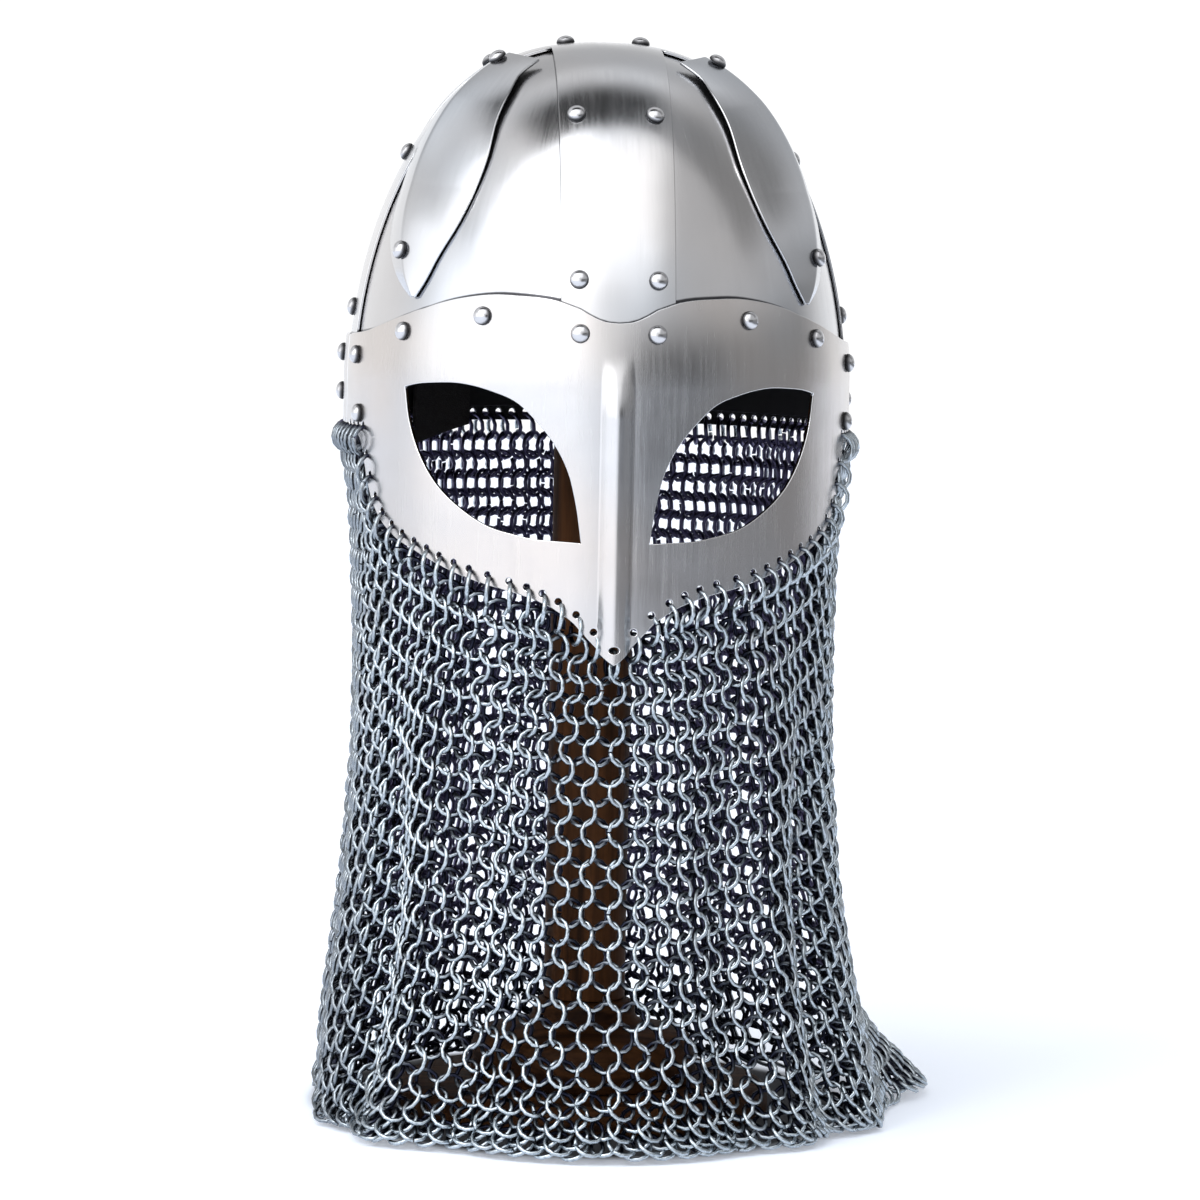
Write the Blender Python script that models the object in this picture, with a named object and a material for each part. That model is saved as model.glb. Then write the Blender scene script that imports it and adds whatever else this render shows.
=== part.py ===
"""Spectacle helmet of the Viking age on a turned wooden stand, with a mail curtain hung from its rim.

The helmet faces -Y, +Z is up, the floor is z = 0 and the stand's post stands on the origin.
"left" is the -X side, which is on the left when the face is looked at.
Angles go round the helmet in degrees: 0 at the nose, +90 at the right ear, 180 at the back.
"""
import bpy
import bmesh
import numpy as np
from mathutils import Matrix, Vector

# Skull
SKULL_HALF_WIDTH = 0.0990
SKULL_HALF_LENGTH = 0.1160
BROW_Z = 0.3000
SKULL_HEIGHT = 0.1330
SKULL_FULLNESS = (2.5, 1.8)
RIM_BELOW_BROW = 0.0230
RIM_Z = BROW_Z - RIM_BELOW_BROW
SKULL_EDGE_ABOVE_RIM = 0.0060
SKULL_FACE_ANGLE = 60
COLUMN_STEP = 10
ROW_STEP = 9

# Sheet metal and the gaps between its layers
PLATE = 0.0015
BAND = 0.0012
GAP = 0.0004
SEAM = 0.0006
RIVET_GAP = 0.0003
WOOD_GAP = 0.0003

# Bands over the seams of the skull
RIDGE_BAND_WIDTH = 0.0430
SIDE_BAND_WIDTH = 0.0380
BROW_BAND_HEIGHT = 0.0380
BROW_BAND_ANGLE = 82.4

# Visor: heights are shares of the drop, of the eye opening and of the rise over the brow
VISOR_DROP = 0.1070
VISOR_RISE = 0.0330
EYE_HEIGHT = 0.0605
EYE_TOP_BELOW_BROW = 0.0005
NOSE_RIDGE = 0.0045
# angle, lower edge, eye's lower edge, eye's upper edge, upper edge
VISOR_COLUMNS = (
    (0.0, 1.000, 0.000, 0.000, 0.700),
    (2.9, 0.953, 0.000, 0.000, 0.715),
    (7.2, 0.879, 0.000, 0.000, 0.812),
    (8.6, 0.853, 0.003, 0.264, 0.855),
    (10.4, 0.832, 0.006, 0.463, 0.888),
    (13.5, 0.800, 0.010, 0.636, 0.942),
    (17.5, 0.772, 0.017, 0.777, 0.976),
    (22.0, 0.750, 0.041, 0.893, 0.991),
    (28.0, 0.728, 0.085, 0.960, 1.000),
    (35.0, 0.697, 0.190, 1.000, 0.964),
    (43.0, 0.651, 0.377, 0.997, 0.879),
    (47.5, 0.623, 0.560, 0.985, 0.811),
    (50.2, 0.607, 0.740, 0.970, 0.777),
    (51.7, 0.599, 0.960, 0.960, 0.752),
    (56.0, 0.564, 0.960, 0.960, 0.691),
    (60.0, 0.521, 0.960, 0.960, 0.630),
    (63.5, 0.459, 0.960, 0.960, 0.582),
    (66.3, 0.379, 0.960, 0.960, 0.545),
    (68.5, 0.294, 0.960, 0.960, 0.521),
    (71.0, 0.229, 0.960, 0.960, 0.503),
    (76.0, 0.215, 0.960, 0.960, 0.479),
    (81.7, 0.215, 0.960, 0.960, 0.455),
)

# Leaf plates: heights are shares of the leaf's height, the rise is a share of the crease's rise
LEAF_TIP_ABOVE_BROW = 0.0320
LEAF_HEIGHT = 0.0920
LEAF_CREASE_RISE = 0.0052
LEAF_EDGE_LIFT = 0.0006
LEAF_TOP_LIFT = 0.0020
# height, crease's angle, front edge's angle from the crease, rear edge's, crease's rise
LEAF_ROWS = (
    (0.000, 52.8, 0.6, 0.6, 0.10),
    (0.050, 54.6, 4.4, 3.2, 0.30),
    (0.165, 57.4, 10.4, 7.6, 0.60),
    (0.315, 59.2, 16.7, 11.4, 0.88),
    (0.450, 60.0, 20.0, 12.8, 1.00),
    (0.590, 60.6, 21.6, 13.4, 1.00),
    (0.750, 61.0, 20.2, 13.0, 0.88),
    (0.870, 61.3, 19.4, 12.6, 0.68),
    (0.945, 61.5, 17.2, 12.2, 0.52),
    (1.000, 61.5, 23.0, 19.0, 0.36),
)

# Rivets
RIVET_RADIUS = 0.0037
RIVET_HEIGHT = 0.0029
RIVET_SIDES = 10
RIDGE_RIVET_SPACING = 0.0300
VISOR_RIVETS = ((8.4, 0.0193), (30.8, 0.0250), (53.0, 0.0180), (73.6, 0.0077), (71.3, -0.0152))
RIDGE_RIVET_HEIGHTS = (0.0400, 0.1030)
SIDE_RIVET_HEIGHTS = (0.0260, 0.0880)
LEAF_RIVETS = (0.180, 0.972)
BROW_RIVET_ANGLE = 94.0
BROW_RIVET_HEIGHTS = (0.0075, -0.0080)

# Mail curtain: one wall that takes the rings' place, folded and spread towards the floor
MAIL_THICKNESS = 0.0034
MAIL_FLOOR_GAP = 0.0005
MAIL_EDGE_GAP = 0.0009
MAIL_STEP = 4.5
MAIL_ROWS = (0.0, 0.06, 0.16, 0.30, 0.45, 0.60, 0.72, 0.82, 0.90, 0.96, 1.0)
MAIL_FOLD_DEPTH = 0.0080
MAIL_SPREAD = 0.0150
# share of the way down, share of the spread, share of the fold depth
MAIL_HANG = (
    (0.00, 0.00, 0.00),
    (0.10, -0.06, 0.08),
    (0.25, -0.16, 0.35),
    (0.45, -0.12, 0.75),
    (0.62, 0.22, 0.95),
    (0.78, 0.52, 1.00),
    (0.90, 0.78, 1.00),
    (1.00, 1.00, 0.90),
)
# angle, half width of the fold, push outwards as a share of the fold depth
MAIL_FOLDS = (
    (-158, 9, 0.70), (-138, 8, -0.60), (-112, 9, 0.80), (-92, 8, -0.50), (-70, 8, 0.55),
    (-51, 7, -0.95), (-36, 6, 0.55), (-22, 6, -0.60), (0, 10, 0.35), (21, 6, -0.60),
    (35, 6, 0.60), (50, 7, -0.95), (68, 8, 0.60), (91, 8, -0.60), (113, 9, 0.85),
    (137, 8, -0.55), (160, 9, 0.60),
)
# angle, half width, how far the hem lies out on the floor as a share of the spread, share of height
MAIL_HEM_FLARES = ((110, 17, 1.90, 0.085), (-42, 12, 0.35, 0.10), (62, 14, 0.30, 0.12))

# Leather tab inside the rim at the left of the back
TAB_ANGLE = -141
TAB_HALF_ANGLE = 9
TAB_THICKNESS = 0.0020
TAB_ABOVE_RIM = 0.0180
TAB_BELOW_RIM = 0.0090

# Stand
BASE_RADIUS = 0.0760
BASE_THICKNESS = 0.0120
FOOT_RADIUS = 0.0460
FOOT_HEIGHT = 0.0330
COLLAR_RADIUS = 0.0210
POST_RADIUS = 0.0166
HEAD_DEPTH = 0.0200
TURNED_SIDES = 36
HEAD_ROWS = (72, 81, 90)

STEEL = ((0.60, 0.61, 0.63), 1.0, 0.30)
BRIGHT_STEEL = ((0.70, 0.70, 0.72), 1.0, 0.22)
MAIL_STEEL = ((0.33, 0.34, 0.35), 1.0, 0.38)
WOOD = ((0.19, 0.10, 0.05), 0.0, 0.55)
LEATHER = ((0.018, 0.016, 0.015), 0.0, 0.65)


def clear_scene():
    for item in list(bpy.data.objects):
        bpy.data.objects.remove(item)


def finish(item, look):
    """Give an object a material of its own."""
    colour, metallic, roughness = look
    material = bpy.data.materials.new(item.name + "_finish")
    material.use_nodes = True
    shader = material.node_tree.nodes["Principled BSDF"]
    shader.inputs["Base Color"].default_value = (*colour, 1.0)
    shader.inputs["Metallic"].default_value = metallic
    shader.inputs["Roughness"].default_value = roughness
    item.data.materials.append(material)


def add_object(name, mesh, look):
    item = bpy.data.objects.new(name, mesh)
    bpy.context.scene.collection.objects.link(item)
    if not mesh.materials:
        finish(item, look)
    return item


# The skull's surface is a superellipsoid above the brow and an upright oval wall under it

def width_share(height):
    """Share of the half width that is left at a height over the brow."""
    share = min(max(height / SKULL_HEIGHT, 0.0), 1.0)
    across, up = SKULL_FULLNESS
    return (1.0 - share ** up) ** (1.0 / across)


def height_at(reach):
    """Height over the brow where the plan's oval has shrunk to this share."""
    across, up = SKULL_FULLNESS
    return SKULL_HEIGHT * max(1.0 - reach ** across, 0.0) ** (1.0 / up)


def lifted(x, y, z, lift):
    """Move a point of the skull's surface outwards, along the surface's normal."""
    across, up = SKULL_FULLNESS
    reach = np.hypot(x / SKULL_HALF_WIDTH, y / SKULL_HALF_LENGTH)
    share = max((z - BROW_Z) / SKULL_HEIGHT, 0.0)
    steep = across * reach ** (across - 2.0)
    normal = Vector((steep * x / SKULL_HALF_WIDTH ** 2, steep * y / SKULL_HALF_LENGTH ** 2,
                     up * share ** (up - 1.0) / SKULL_HEIGHT)).normalized()
    return Vector((x, y, z)) + normal * lift, normal


def on_wall(angle, z, lift):
    """Point at an angle round the helmet and a height."""
    turn = np.radians(angle)
    reach = width_share(z - BROW_Z)
    return lifted(SKULL_HALF_WIDTH * reach * np.sin(turn), -SKULL_HALF_LENGTH * reach * np.cos(turn), z, lift)


def on_crown(across, along, lift):
    """Point over a place in the plan, given as shares of the half width and of the half length."""
    reach = np.hypot(across, along)
    return lifted(SKULL_HALF_WIDTH * across, SKULL_HALF_LENGTH * along, BROW_Z + height_at(reach), lift)


def reach_at(climb):
    """Share of the plan's oval at a climb from the brow (0 degrees) to the crown (90)."""
    return max(np.cos(np.radians(climb)), 0.0) ** (2.0 / SKULL_FULLNESS[0])


# Sheets and solids from rows of points

def grid_mesh(name, rows, closed=False, missing=()):
    """Quads between rows of points; doubled points at tips and poles are welded."""
    count = len(rows[0])
    shape = bmesh.new()
    verts = [[shape.verts.new(point) for point in row] for row in rows]
    for i in range(len(rows) - 1):
        for j in range(count if closed else count - 1):
            if (i, j) in missing:
                continue
            k = (j + 1) % count
            shape.faces.new((verts[i][j], verts[i][k], verts[i + 1][k], verts[i + 1][j]))
    bmesh.ops.remove_doubles(shape, verts=shape.verts, dist=1e-5)
    bmesh.ops.dissolve_degenerate(shape, dist=1e-6, edges=shape.edges)
    loose = [vert for vert in shape.verts if not vert.link_faces]
    bmesh.ops.delete(shape, geom=loose, context="VERTS")
    mesh = bpy.data.meshes.new(name)
    shape.normal_update()
    middle = Vector((0.0, 0.0, BROW_Z))
    outwards = sum(face.calc_area() * face.normal.dot(face.calc_center_median() - middle) for face in shape.faces)
    if outwards < 0.0:
        bmesh.ops.reverse_faces(shape, faces=shape.faces)
    shape.to_mesh(mesh)
    shape.free()
    return mesh


def sheet(name, rows, thickness, look, side=1.0, closed=False, missing=()):
    """A bent sheet: its points lie on its inner face, or on its outer one when side is -1."""
    item = add_object(name, grid_mesh(name, rows, closed, missing), look)
    solidify = item.modifiers.new("thickness", "SOLIDIFY")
    solidify.thickness = thickness
    solidify.offset = side
    solidify.use_even_offset = True
    return item


def round_solid(name, rings, look):
    """A closed solid from rings of points whose first and last rings are single points."""
    return add_object(name, grid_mesh(name, rings, closed=True), look)


def turned(name, profile, look):
    """A turned piece from (radius, height) pairs that run from its top to its bottom."""
    turns = np.radians(np.arange(0, 360, 360 / TURNED_SIDES))
    rings = [[(radius * np.cos(turn), radius * np.sin(turn), z) for turn in turns] for radius, z in profile]
    item = round_solid(name, rings, look)
    item.data.shade_smooth()
    item.data.set_sharp_from_angle(angle=np.radians(35))
    return item


# Skull

def build_skull():
    """Four quarter plates whose seams lie under the bands."""
    climbs = range(ROW_STEP, 91, ROW_STEP)
    angles = range(0, 91, COLUMN_STEP)
    for end, forward in (("front", -1), ("rear", 1)):
        for side, out in (("left", -1), ("right", 1)):
            seam = Vector((out * SEAM / 2, forward * SEAM / 2, 0.0))
            low = [on_wall(a, RIM_Z + SKULL_EDGE_ABOVE_RIM, -SEAM / 2)[0] for a in angles]
            brow = [on_wall(a, BROW_Z, -SEAM / 2)[0] for a in angles]
            upper = [[on_crown(reach_at(c) * np.sin(np.radians(a)), -reach_at(c) * np.cos(np.radians(a)),
                               -SEAM / 2)[0] for a in angles] for c in climbs]
            rows = [[Vector((out * p.x, -forward * p.y, p.z)) + seam for p in row] for row in (low, brow, *upper)]
            open_face = range(SKULL_FACE_ANGLE // COLUMN_STEP) if end == "front" else ()
            sheet(f"skull_plate_{end}_{side}", rows, PLATE, STEEL, side=-1.0, missing={(0, j) for j in open_face})


def ridge_place(across, climb, lift, half):
    """Point on the front (-1) or rear (1) half of the ridge band."""
    share = across / SKULL_HALF_WIDTH
    return on_crown(share, half * reach_at(climb) * np.sqrt(1.0 - share ** 2), lift)


def build_ridge_band():
    columns = np.linspace(-RIDGE_BAND_WIDTH / 2, RIDGE_BAND_WIDTH / 2, 5)
    rows = [[ridge_place(x, climb, GAP, -1)[0] for x in columns] for climb in np.arange(1.5, 90, 4.5)]
    rows += [[ridge_place(x, climb, GAP, 1)[0] for x in columns] for climb in np.arange(90, 1, -4.5)]
    sheet("ridge_band", rows, BAND, STEEL)


def build_side_bands():
    """Ear to crown; each ends against the ridge band's edge."""
    columns = np.linspace(-SIDE_BAND_WIDTH / 2, SIDE_BAND_WIDTH / 2, 5) / SKULL_HALF_LENGTH
    end_share = (RIDGE_BAND_WIDTH / 2 + SEAM) / SKULL_HALF_WIDTH
    last = np.degrees(np.arccos(end_share ** (SKULL_FULLNESS[0] / 2)))
    for side, out in (("left", -1), ("right", 1)):
        rows = []
        for climb in np.linspace(0, last, 17):
            rows.append([on_crown(out * reach_at(climb) * np.sqrt(1.0 - y ** 2), y, GAP)[0] for y in columns])
        foot = [Vector((p.x, p.y, RIM_Z + SKULL_EDGE_ABOVE_RIM)) for p in rows[0]]
        sheet(f"side_band_{side}", [foot] + rows, BAND, STEEL)


# Visor and brow band

LAYER = GAP + BAND + GAP


def visor_heights(low, eye_low, eye_high, top):
    """Heights of the visor's rows in one column of the table."""
    eye_foot = BROW_Z - EYE_TOP_BELOW_BROW - EYE_HEIGHT
    upper = BROW_Z + VISOR_RISE * top
    return (BROW_Z - VISOR_DROP * low, eye_foot + EYE_HEIGHT * eye_low, eye_foot + EYE_HEIGHT * eye_high,
            BROW_Z, (BROW_Z + upper) / 2, upper)


def build_visor():
    """A mask wrapped from ear to ear; the eyes are the space between two of its rows."""
    table = [(-row[0], *row[1:]) for row in reversed(VISOR_COLUMNS[1:])] + list(VISOR_COLUMNS)
    columns = []
    for angle, *shares in table:
        heights = visor_heights(*shares)
        points = []
        for z in heights:
            lift = LAYER + (NOSE_RIDGE if angle == 0 and z < BROW_Z else 0.0)
            points.append(on_wall(angle, z, lift)[0])
        columns.append(points)
    rows = [list(row) for row in zip(*columns)]
    eyes = {(1, j) for j in range(len(table) - 1)}
    visor = sheet("visor", rows, PLATE, STEEL, missing=eyes)
    return visor


def build_brow_band():
    """Round the back from one end of the visor to the other."""
    angles = np.linspace(BROW_BAND_ANGLE, 360 - BROW_BAND_ANGLE, 34)
    heights = (RIM_Z, BROW_Z, RIM_Z + BROW_BAND_HEIGHT)
    rows = [[on_wall(a, z, LAYER)[0] for a in angles] for z in heights]
    sheet("brow_band", rows, PLATE, STEEL)


# Leaf plates

def leaf_row(height):
    """The leaf's row at a share of its height, read between the table's rows."""
    table = np.array(LEAF_ROWS)
    return [np.interp(height, table[:, 0], table[:, column]) for column in range(1, 5)]


def leaf_lift(height, across, rise):
    """Lift of a leaf's inner face: edges lie low, the crease stands up, the top clears the bands."""
    edge = LEAF_EDGE_LIFT + LEAF_TOP_LIFT * min(max((height - 0.45) / 0.35, 0.0), 1.0)
    return edge + LEAF_CREASE_RISE * rise * (1.0 - across)


def leaf_place(height, across, lift_extra=0.0):
    """Point of a front right leaf: across is -1 at its front edge, 0 at the crease, 1 at its rear edge."""
    crease, front, rear, rise = leaf_row(height)
    angle = crease + across * (front if across < 0 else rear)
    z = BROW_Z + LEAF_TIP_ABOVE_BROW + LEAF_HEIGHT * height
    return on_wall(angle, z, leaf_lift(height, abs(across), rise) + lift_extra)


def build_leaves():
    shares = (-1.0, -0.66, -0.33, 0.0, 0.5, 1.0)
    for end, forward in (("front", 1), ("rear", -1)):
        for side, out in (("left", -1), ("right", 1)):
            rows = []
            for height, *_ in LEAF_ROWS:
                points = [leaf_place(height, share)[0] for share in shares]
                rows.append([(out * p.x, forward * p.y, p.z) for p in points])
            sheet(f"leaf_plate_{end}_{side}", rows, BAND, STEEL)


# Rivets

def rivet_mesh():
    """A domed head, flat underneath, shared by all the rivets."""
    turns = np.radians(np.arange(0, 360, 360 / RIVET_SIDES))
    profile = ((0.0, 1.0), (0.55, 0.84), (0.88, 0.46), (1.0, 0.0), (0.0, 0.0))
    rings = [[(RIVET_RADIUS * r * np.cos(t), RIVET_RADIUS * r * np.sin(t), BROW_Z + RIVET_HEIGHT * h)
              for t in turns] for r, h in profile]
    mesh = grid_mesh("rivet_head", rings, closed=True)
    mesh.transform(Matrix.Translation((0.0, 0.0, -BROW_Z)))
    mesh.shade_smooth()
    mesh.set_sharp_from_angle(angle=np.radians(50))
    return mesh


def add_rivet(name, mesh, place):
    point, normal = place
    rivet = add_object(name, mesh, BRIGHT_STEEL)
    rivet.rotation_mode = "QUATERNION"
    rivet.rotation_quaternion = normal.to_track_quat("Z", "Y")
    rivet.location = point


def mirrored(place, out, forward):
    point, normal = place
    turn = Vector((out, forward, 1.0))
    return point * turn, normal * turn


def build_rivets():
    mesh = rivet_mesh()
    on_sheet = LAYER + PLATE + RIVET_GAP
    on_band = GAP + BAND + RIVET_GAP
    sides = (("left", -1), ("right", 1))
    ends = (("front", 1), ("rear", -1))
    for side, out in sides:
        for number, (angle, height) in enumerate(VISOR_RIVETS, 1):
            add_rivet(f"visor_rivet_{side}_{number}", mesh, on_wall(out * angle, BROW_Z + height, on_sheet))
        for number, height in enumerate(BROW_RIVET_HEIGHTS, 1):
            place = on_wall(out * BROW_RIVET_ANGLE, BROW_Z + height, on_sheet)
            add_rivet(f"brow_rivet_{side}_{number}", mesh, place)
        for number, height in enumerate(SIDE_RIVET_HEIGHTS, 1):
            add_rivet(f"side_rivet_{side}_{number}", mesh, on_wall(out * 90, BROW_Z + height, on_band))
        across = out * RIDGE_RIVET_SPACING / 2
        add_rivet(f"crown_rivet_{side}", mesh, on_crown(across / SKULL_HALF_WIDTH, 0.0, on_band))
        for end, forward in ends:
            for number, height in enumerate(RIDGE_RIVET_HEIGHTS, 1):
                reach = width_share(height)
                share = across / SKULL_HALF_WIDTH
                place = on_crown(share, -forward * np.sqrt(reach ** 2 - share ** 2), on_band)
                add_rivet(f"ridge_rivet_{end}_{side}_{number}", mesh, place)
            for number, height in enumerate(LEAF_RIVETS, 1):
                place = leaf_place(height, 0.0, BAND + RIVET_GAP)
                add_rivet(f"leaf_rivet_{end}_{side}_{number}", mesh, mirrored(place, out, forward))
        back = 180 - np.degrees(np.arcsin(across / SKULL_HALF_WIDTH))
        place = on_wall(back, BROW_Z + BROW_RIVET_HEIGHTS[0], on_sheet)
        add_rivet(f"brow_rivet_back_{side}", mesh, place)


# Mail curtain

def mail_top(angle):
    """Height of the edge that the mail hangs from."""
    table = np.array(VISOR_COLUMNS)
    if abs(angle) >= BROW_BAND_ANGLE:
        return RIM_Z
    return BROW_Z - VISOR_DROP * np.interp(abs(angle), table[:, 0], table[:, 1])


def swell(angle, centre, half_width):
    """A smooth bump round an angle, also across the back of the helmet."""
    away = (angle - centre + 180) % 360 - 180
    return np.exp(-(away / half_width) ** 2)


def mail_lift(angle, down):
    """How far the mail stands off the skull's oval at a share of the way down."""
    table = np.array(MAIL_HANG)
    spread = np.interp(down, table[:, 0], table[:, 1])
    depth = np.interp(down, table[:, 0], table[:, 2])
    folds = sum(push * swell(angle, centre, width) for centre, width, push in MAIL_FOLDS)
    flare = sum(reach * swell(angle, centre, width) * np.exp(-((1 - down) / height) ** 2)
                for centre, width, reach, height in MAIL_HEM_FLARES)
    return LAYER + PLATE / 2 + MAIL_SPREAD * (spread + flare) + MAIL_FOLD_DEPTH * depth * folds


def mail_angles():
    """The visor's own columns, so that the two edges match, with wider gaps split into even steps."""
    half = [row[0] for row in VISOR_COLUMNS] + [BROW_BAND_ANGLE]
    stops = [-180.0] + [-angle for angle in reversed(half[1:])] + half + [180.0]
    angles = []
    for start, end in zip(stops, stops[1:]):
        parts = int(np.ceil((end - start) / MAIL_STEP))
        angles += [start + (end - start) * part / parts for part in range(parts)]
    return angles


def build_mail():
    angles = mail_angles()
    rows = []
    for down in MAIL_ROWS:
        row = []
        for angle in angles:
            top = mail_top(angle) - MAIL_EDGE_GAP
            z = top + (MAIL_FLOOR_GAP - top) * down
            row.append(on_wall(angle, z, mail_lift(angle, down))[0])
        rows.append(row)
    sheet("mail_aventail", rows, MAIL_THICKNESS, MAIL_STEEL, side=0.0, closed=True)


def build_tab():
    """Leather tab behind the skull's rear left plate; its lower end shows through the left eye."""
    inside = -SEAM / 2 - PLATE - 2 * GAP
    angles = np.linspace(TAB_ANGLE - TAB_HALF_ANGLE, TAB_ANGLE + TAB_HALF_ANGLE, 5)
    rows = [[on_wall(a, z, inside)[0] for a in angles]
            for z in (RIM_Z - TAB_BELOW_RIM, RIM_Z, RIM_Z + TAB_ABOVE_RIM)]
    sheet("leather_tab", rows, TAB_THICKNESS, LEATHER, side=-1.0)


# Stand

def build_stand():
    base_edge = BASE_THICKNESS / 4
    turned("stand_base", ((0.0, BASE_THICKNESS), (BASE_RADIUS - base_edge, BASE_THICKNESS),
                          (BASE_RADIUS, BASE_THICKNESS - base_edge), (BASE_RADIUS, base_edge / 3),
                          (BASE_RADIUS - base_edge / 3, 0.0), (0.0, 0.0)), WOOD)
    foot = BASE_THICKNESS + WOOD_GAP
    top = foot + FOOT_HEIGHT
    # share of the way from the collar's radius to the foot's, share of the foot's height
    moulding = ((-0.12, 1.00), (0.00, 0.95), (0.00, 0.80), (0.10, 0.72), (0.45, 0.66),
                (0.82, 0.60), (0.95, 0.52), (1.00, 0.40), (1.00, 0.00))
    outline = [(COLLAR_RADIUS + (FOOT_RADIUS - COLLAR_RADIUS) * out, foot + FOOT_HEIGHT * up)
               for out, up in moulding]
    turned("stand_foot", [(0.0, top)] + outline + [(0.0, foot)], WOOD)
    inside = -SEAM / 2 - PLATE - GAP
    crown = BROW_Z + SKULL_HEIGHT + inside
    head = crown - HEAD_DEPTH
    post_top = head - WOOD_GAP
    turned("stand_post", ((0.0, post_top), (POST_RADIUS, post_top), (POST_RADIUS, top + WOOD_GAP),
                          (0.0, top + WOOD_GAP)), WOOD)
    angles = np.radians(np.arange(0, 360, COLUMN_STEP))
    rim = reach_at(HEAD_ROWS[0])
    rings = [[Vector((0.0, 0.0, head)) for _ in angles]]
    for share in (0.75, 1.0):
        z = head + (share - 0.75) * HEAD_DEPTH
        rings.append([Vector((SKULL_HALF_WIDTH * rim * share * np.sin(a), -SKULL_HALF_LENGTH * rim * share * np.cos(a),
                              z)) for a in angles])
    for climb in HEAD_ROWS:
        reach = reach_at(climb)
        rings.append([on_crown(reach * np.sin(a), -reach * np.cos(a), inside)[0] for a in angles])
    round_solid("stand_head", rings, WOOD)


clear_scene()
build_skull()
build_ridge_band()
build_side_bands()
build_visor()
build_brow_band()
build_leaves()
build_rivets()
build_mail()
build_tab()
build_stand()
print("pieces made:", len(bpy.data.objects))
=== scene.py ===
# %% [markdown]
# # A spectacle helmet with a mail curtain, on a turned wooden stand
#
# The real helmet is a skull of four steel plates under riveted bands, with a visor like a pair of
# spectacles and a curtain of steel rings down to the table. Each piece is a surface worked out with
# numpy, and each finish is made from shader nodes. The CAD frame comes first, because every piece sits
# where its CAD node sits.

# %% The frame
import bpy
import numpy as np
from mathutils import Matrix, Vector
from mathutils.geometry import delaunay_2d_cdt


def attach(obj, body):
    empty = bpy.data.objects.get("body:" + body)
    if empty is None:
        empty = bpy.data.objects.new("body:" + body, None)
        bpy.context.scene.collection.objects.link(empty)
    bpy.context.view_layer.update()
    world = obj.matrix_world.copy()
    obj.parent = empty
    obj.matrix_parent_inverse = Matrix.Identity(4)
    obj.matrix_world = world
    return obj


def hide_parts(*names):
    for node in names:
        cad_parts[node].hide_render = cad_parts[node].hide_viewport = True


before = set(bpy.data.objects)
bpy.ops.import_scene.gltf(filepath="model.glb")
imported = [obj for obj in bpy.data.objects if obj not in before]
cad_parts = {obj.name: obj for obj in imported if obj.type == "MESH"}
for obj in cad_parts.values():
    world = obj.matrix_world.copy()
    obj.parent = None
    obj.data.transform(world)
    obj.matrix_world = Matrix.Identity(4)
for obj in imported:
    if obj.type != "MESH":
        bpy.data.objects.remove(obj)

scene = bpy.context.scene
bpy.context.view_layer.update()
print("CAD nodes:", len(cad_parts))

# %% [markdown]
# ## The camera
#
# A camera could be turned by eye. This one was fitted to pairs of mirrored rivets and eye corners, so its
# place, its long lens and its roll are plain numbers. It rolls because the real helmet leans a little.

# %% Camera
CAMERA_AZIMUTH = 4.12
CAMERA_DISTANCE = 2.10
CAMERA_HEIGHT = 0.369
CAMERA_PITCH = 4.37
CAMERA_ROLL = 1.15
FOCAL_LENGTH = 155.0
SENSOR = 36.0
FRAME_SHIFT = 0.0067

azimuth, pitch, roll = np.radians((CAMERA_AZIMUTH, CAMERA_PITCH, CAMERA_ROLL))
level = np.array((np.sin(azimuth), np.cos(azimuth), 0.0))
upright = np.array((0.0, 0.0, 1.0))
across = np.cross(level, upright)
forward = level * np.cos(pitch) - upright * np.sin(pitch)
upward = level * np.sin(pitch) + upright * np.cos(pitch)
camera = bpy.data.objects.new("camera", bpy.data.cameras.new("camera"))
camera.data.sensor_width = SENSOR
camera.data.lens = FOCAL_LENGTH
camera.data.shift_x = FRAME_SHIFT
turned_right = across * np.cos(roll) + upward * np.sin(roll)
turned_up = upward * np.cos(roll) - across * np.sin(roll)
place = Matrix(np.transpose((turned_right, turned_up, -forward)).tolist()).to_4x4()
place.translation = -level * CAMERA_DISTANCE + upright * CAMERA_HEIGHT
camera.matrix_world = place
scene.collection.objects.link(camera)
scene.camera = camera
print("camera at", [round(value, 3) for value in place.translation])

# %% [markdown]
# ## Shader sums written as Python
#
# A finish could be wired by hand, node by node. A small class that wraps a socket lets a finish be written
# as an expression instead: each operator adds one Math node.


# %% Shader helpers
class Value:
    """A number that comes out of a node; sums and products of it add Math nodes."""

    def __init__(self, recipe, socket):
        self.recipe = recipe
        self.socket = socket

    def math(self, operation, *others):
        """Adds a Math node that works on this value and the others."""
        inputs = dict(enumerate((self, *others)))
        return self.recipe.node("ShaderNodeMath", {"operation": operation}, inputs)

    def __add__(self, other):
        return self.math("ADD", other)

    def __mul__(self, other):
        return self.math("MULTIPLY", other)

    def __sub__(self, other):
        return self.math("SUBTRACT", other)

    def __rsub__(self, other):
        return self * -1.0 + other

    __radd__ = __add__
    __rmul__ = __mul__

    def rise(self, low, high):
        """Smooth step: 0 below low, 1 above high."""
        sockets = {"Value": self, "From Min": low, "From Max": high}
        return self.recipe.node("ShaderNodeMapRange", {"interpolation_type": "SMOOTHSTEP"}, sockets)


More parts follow.
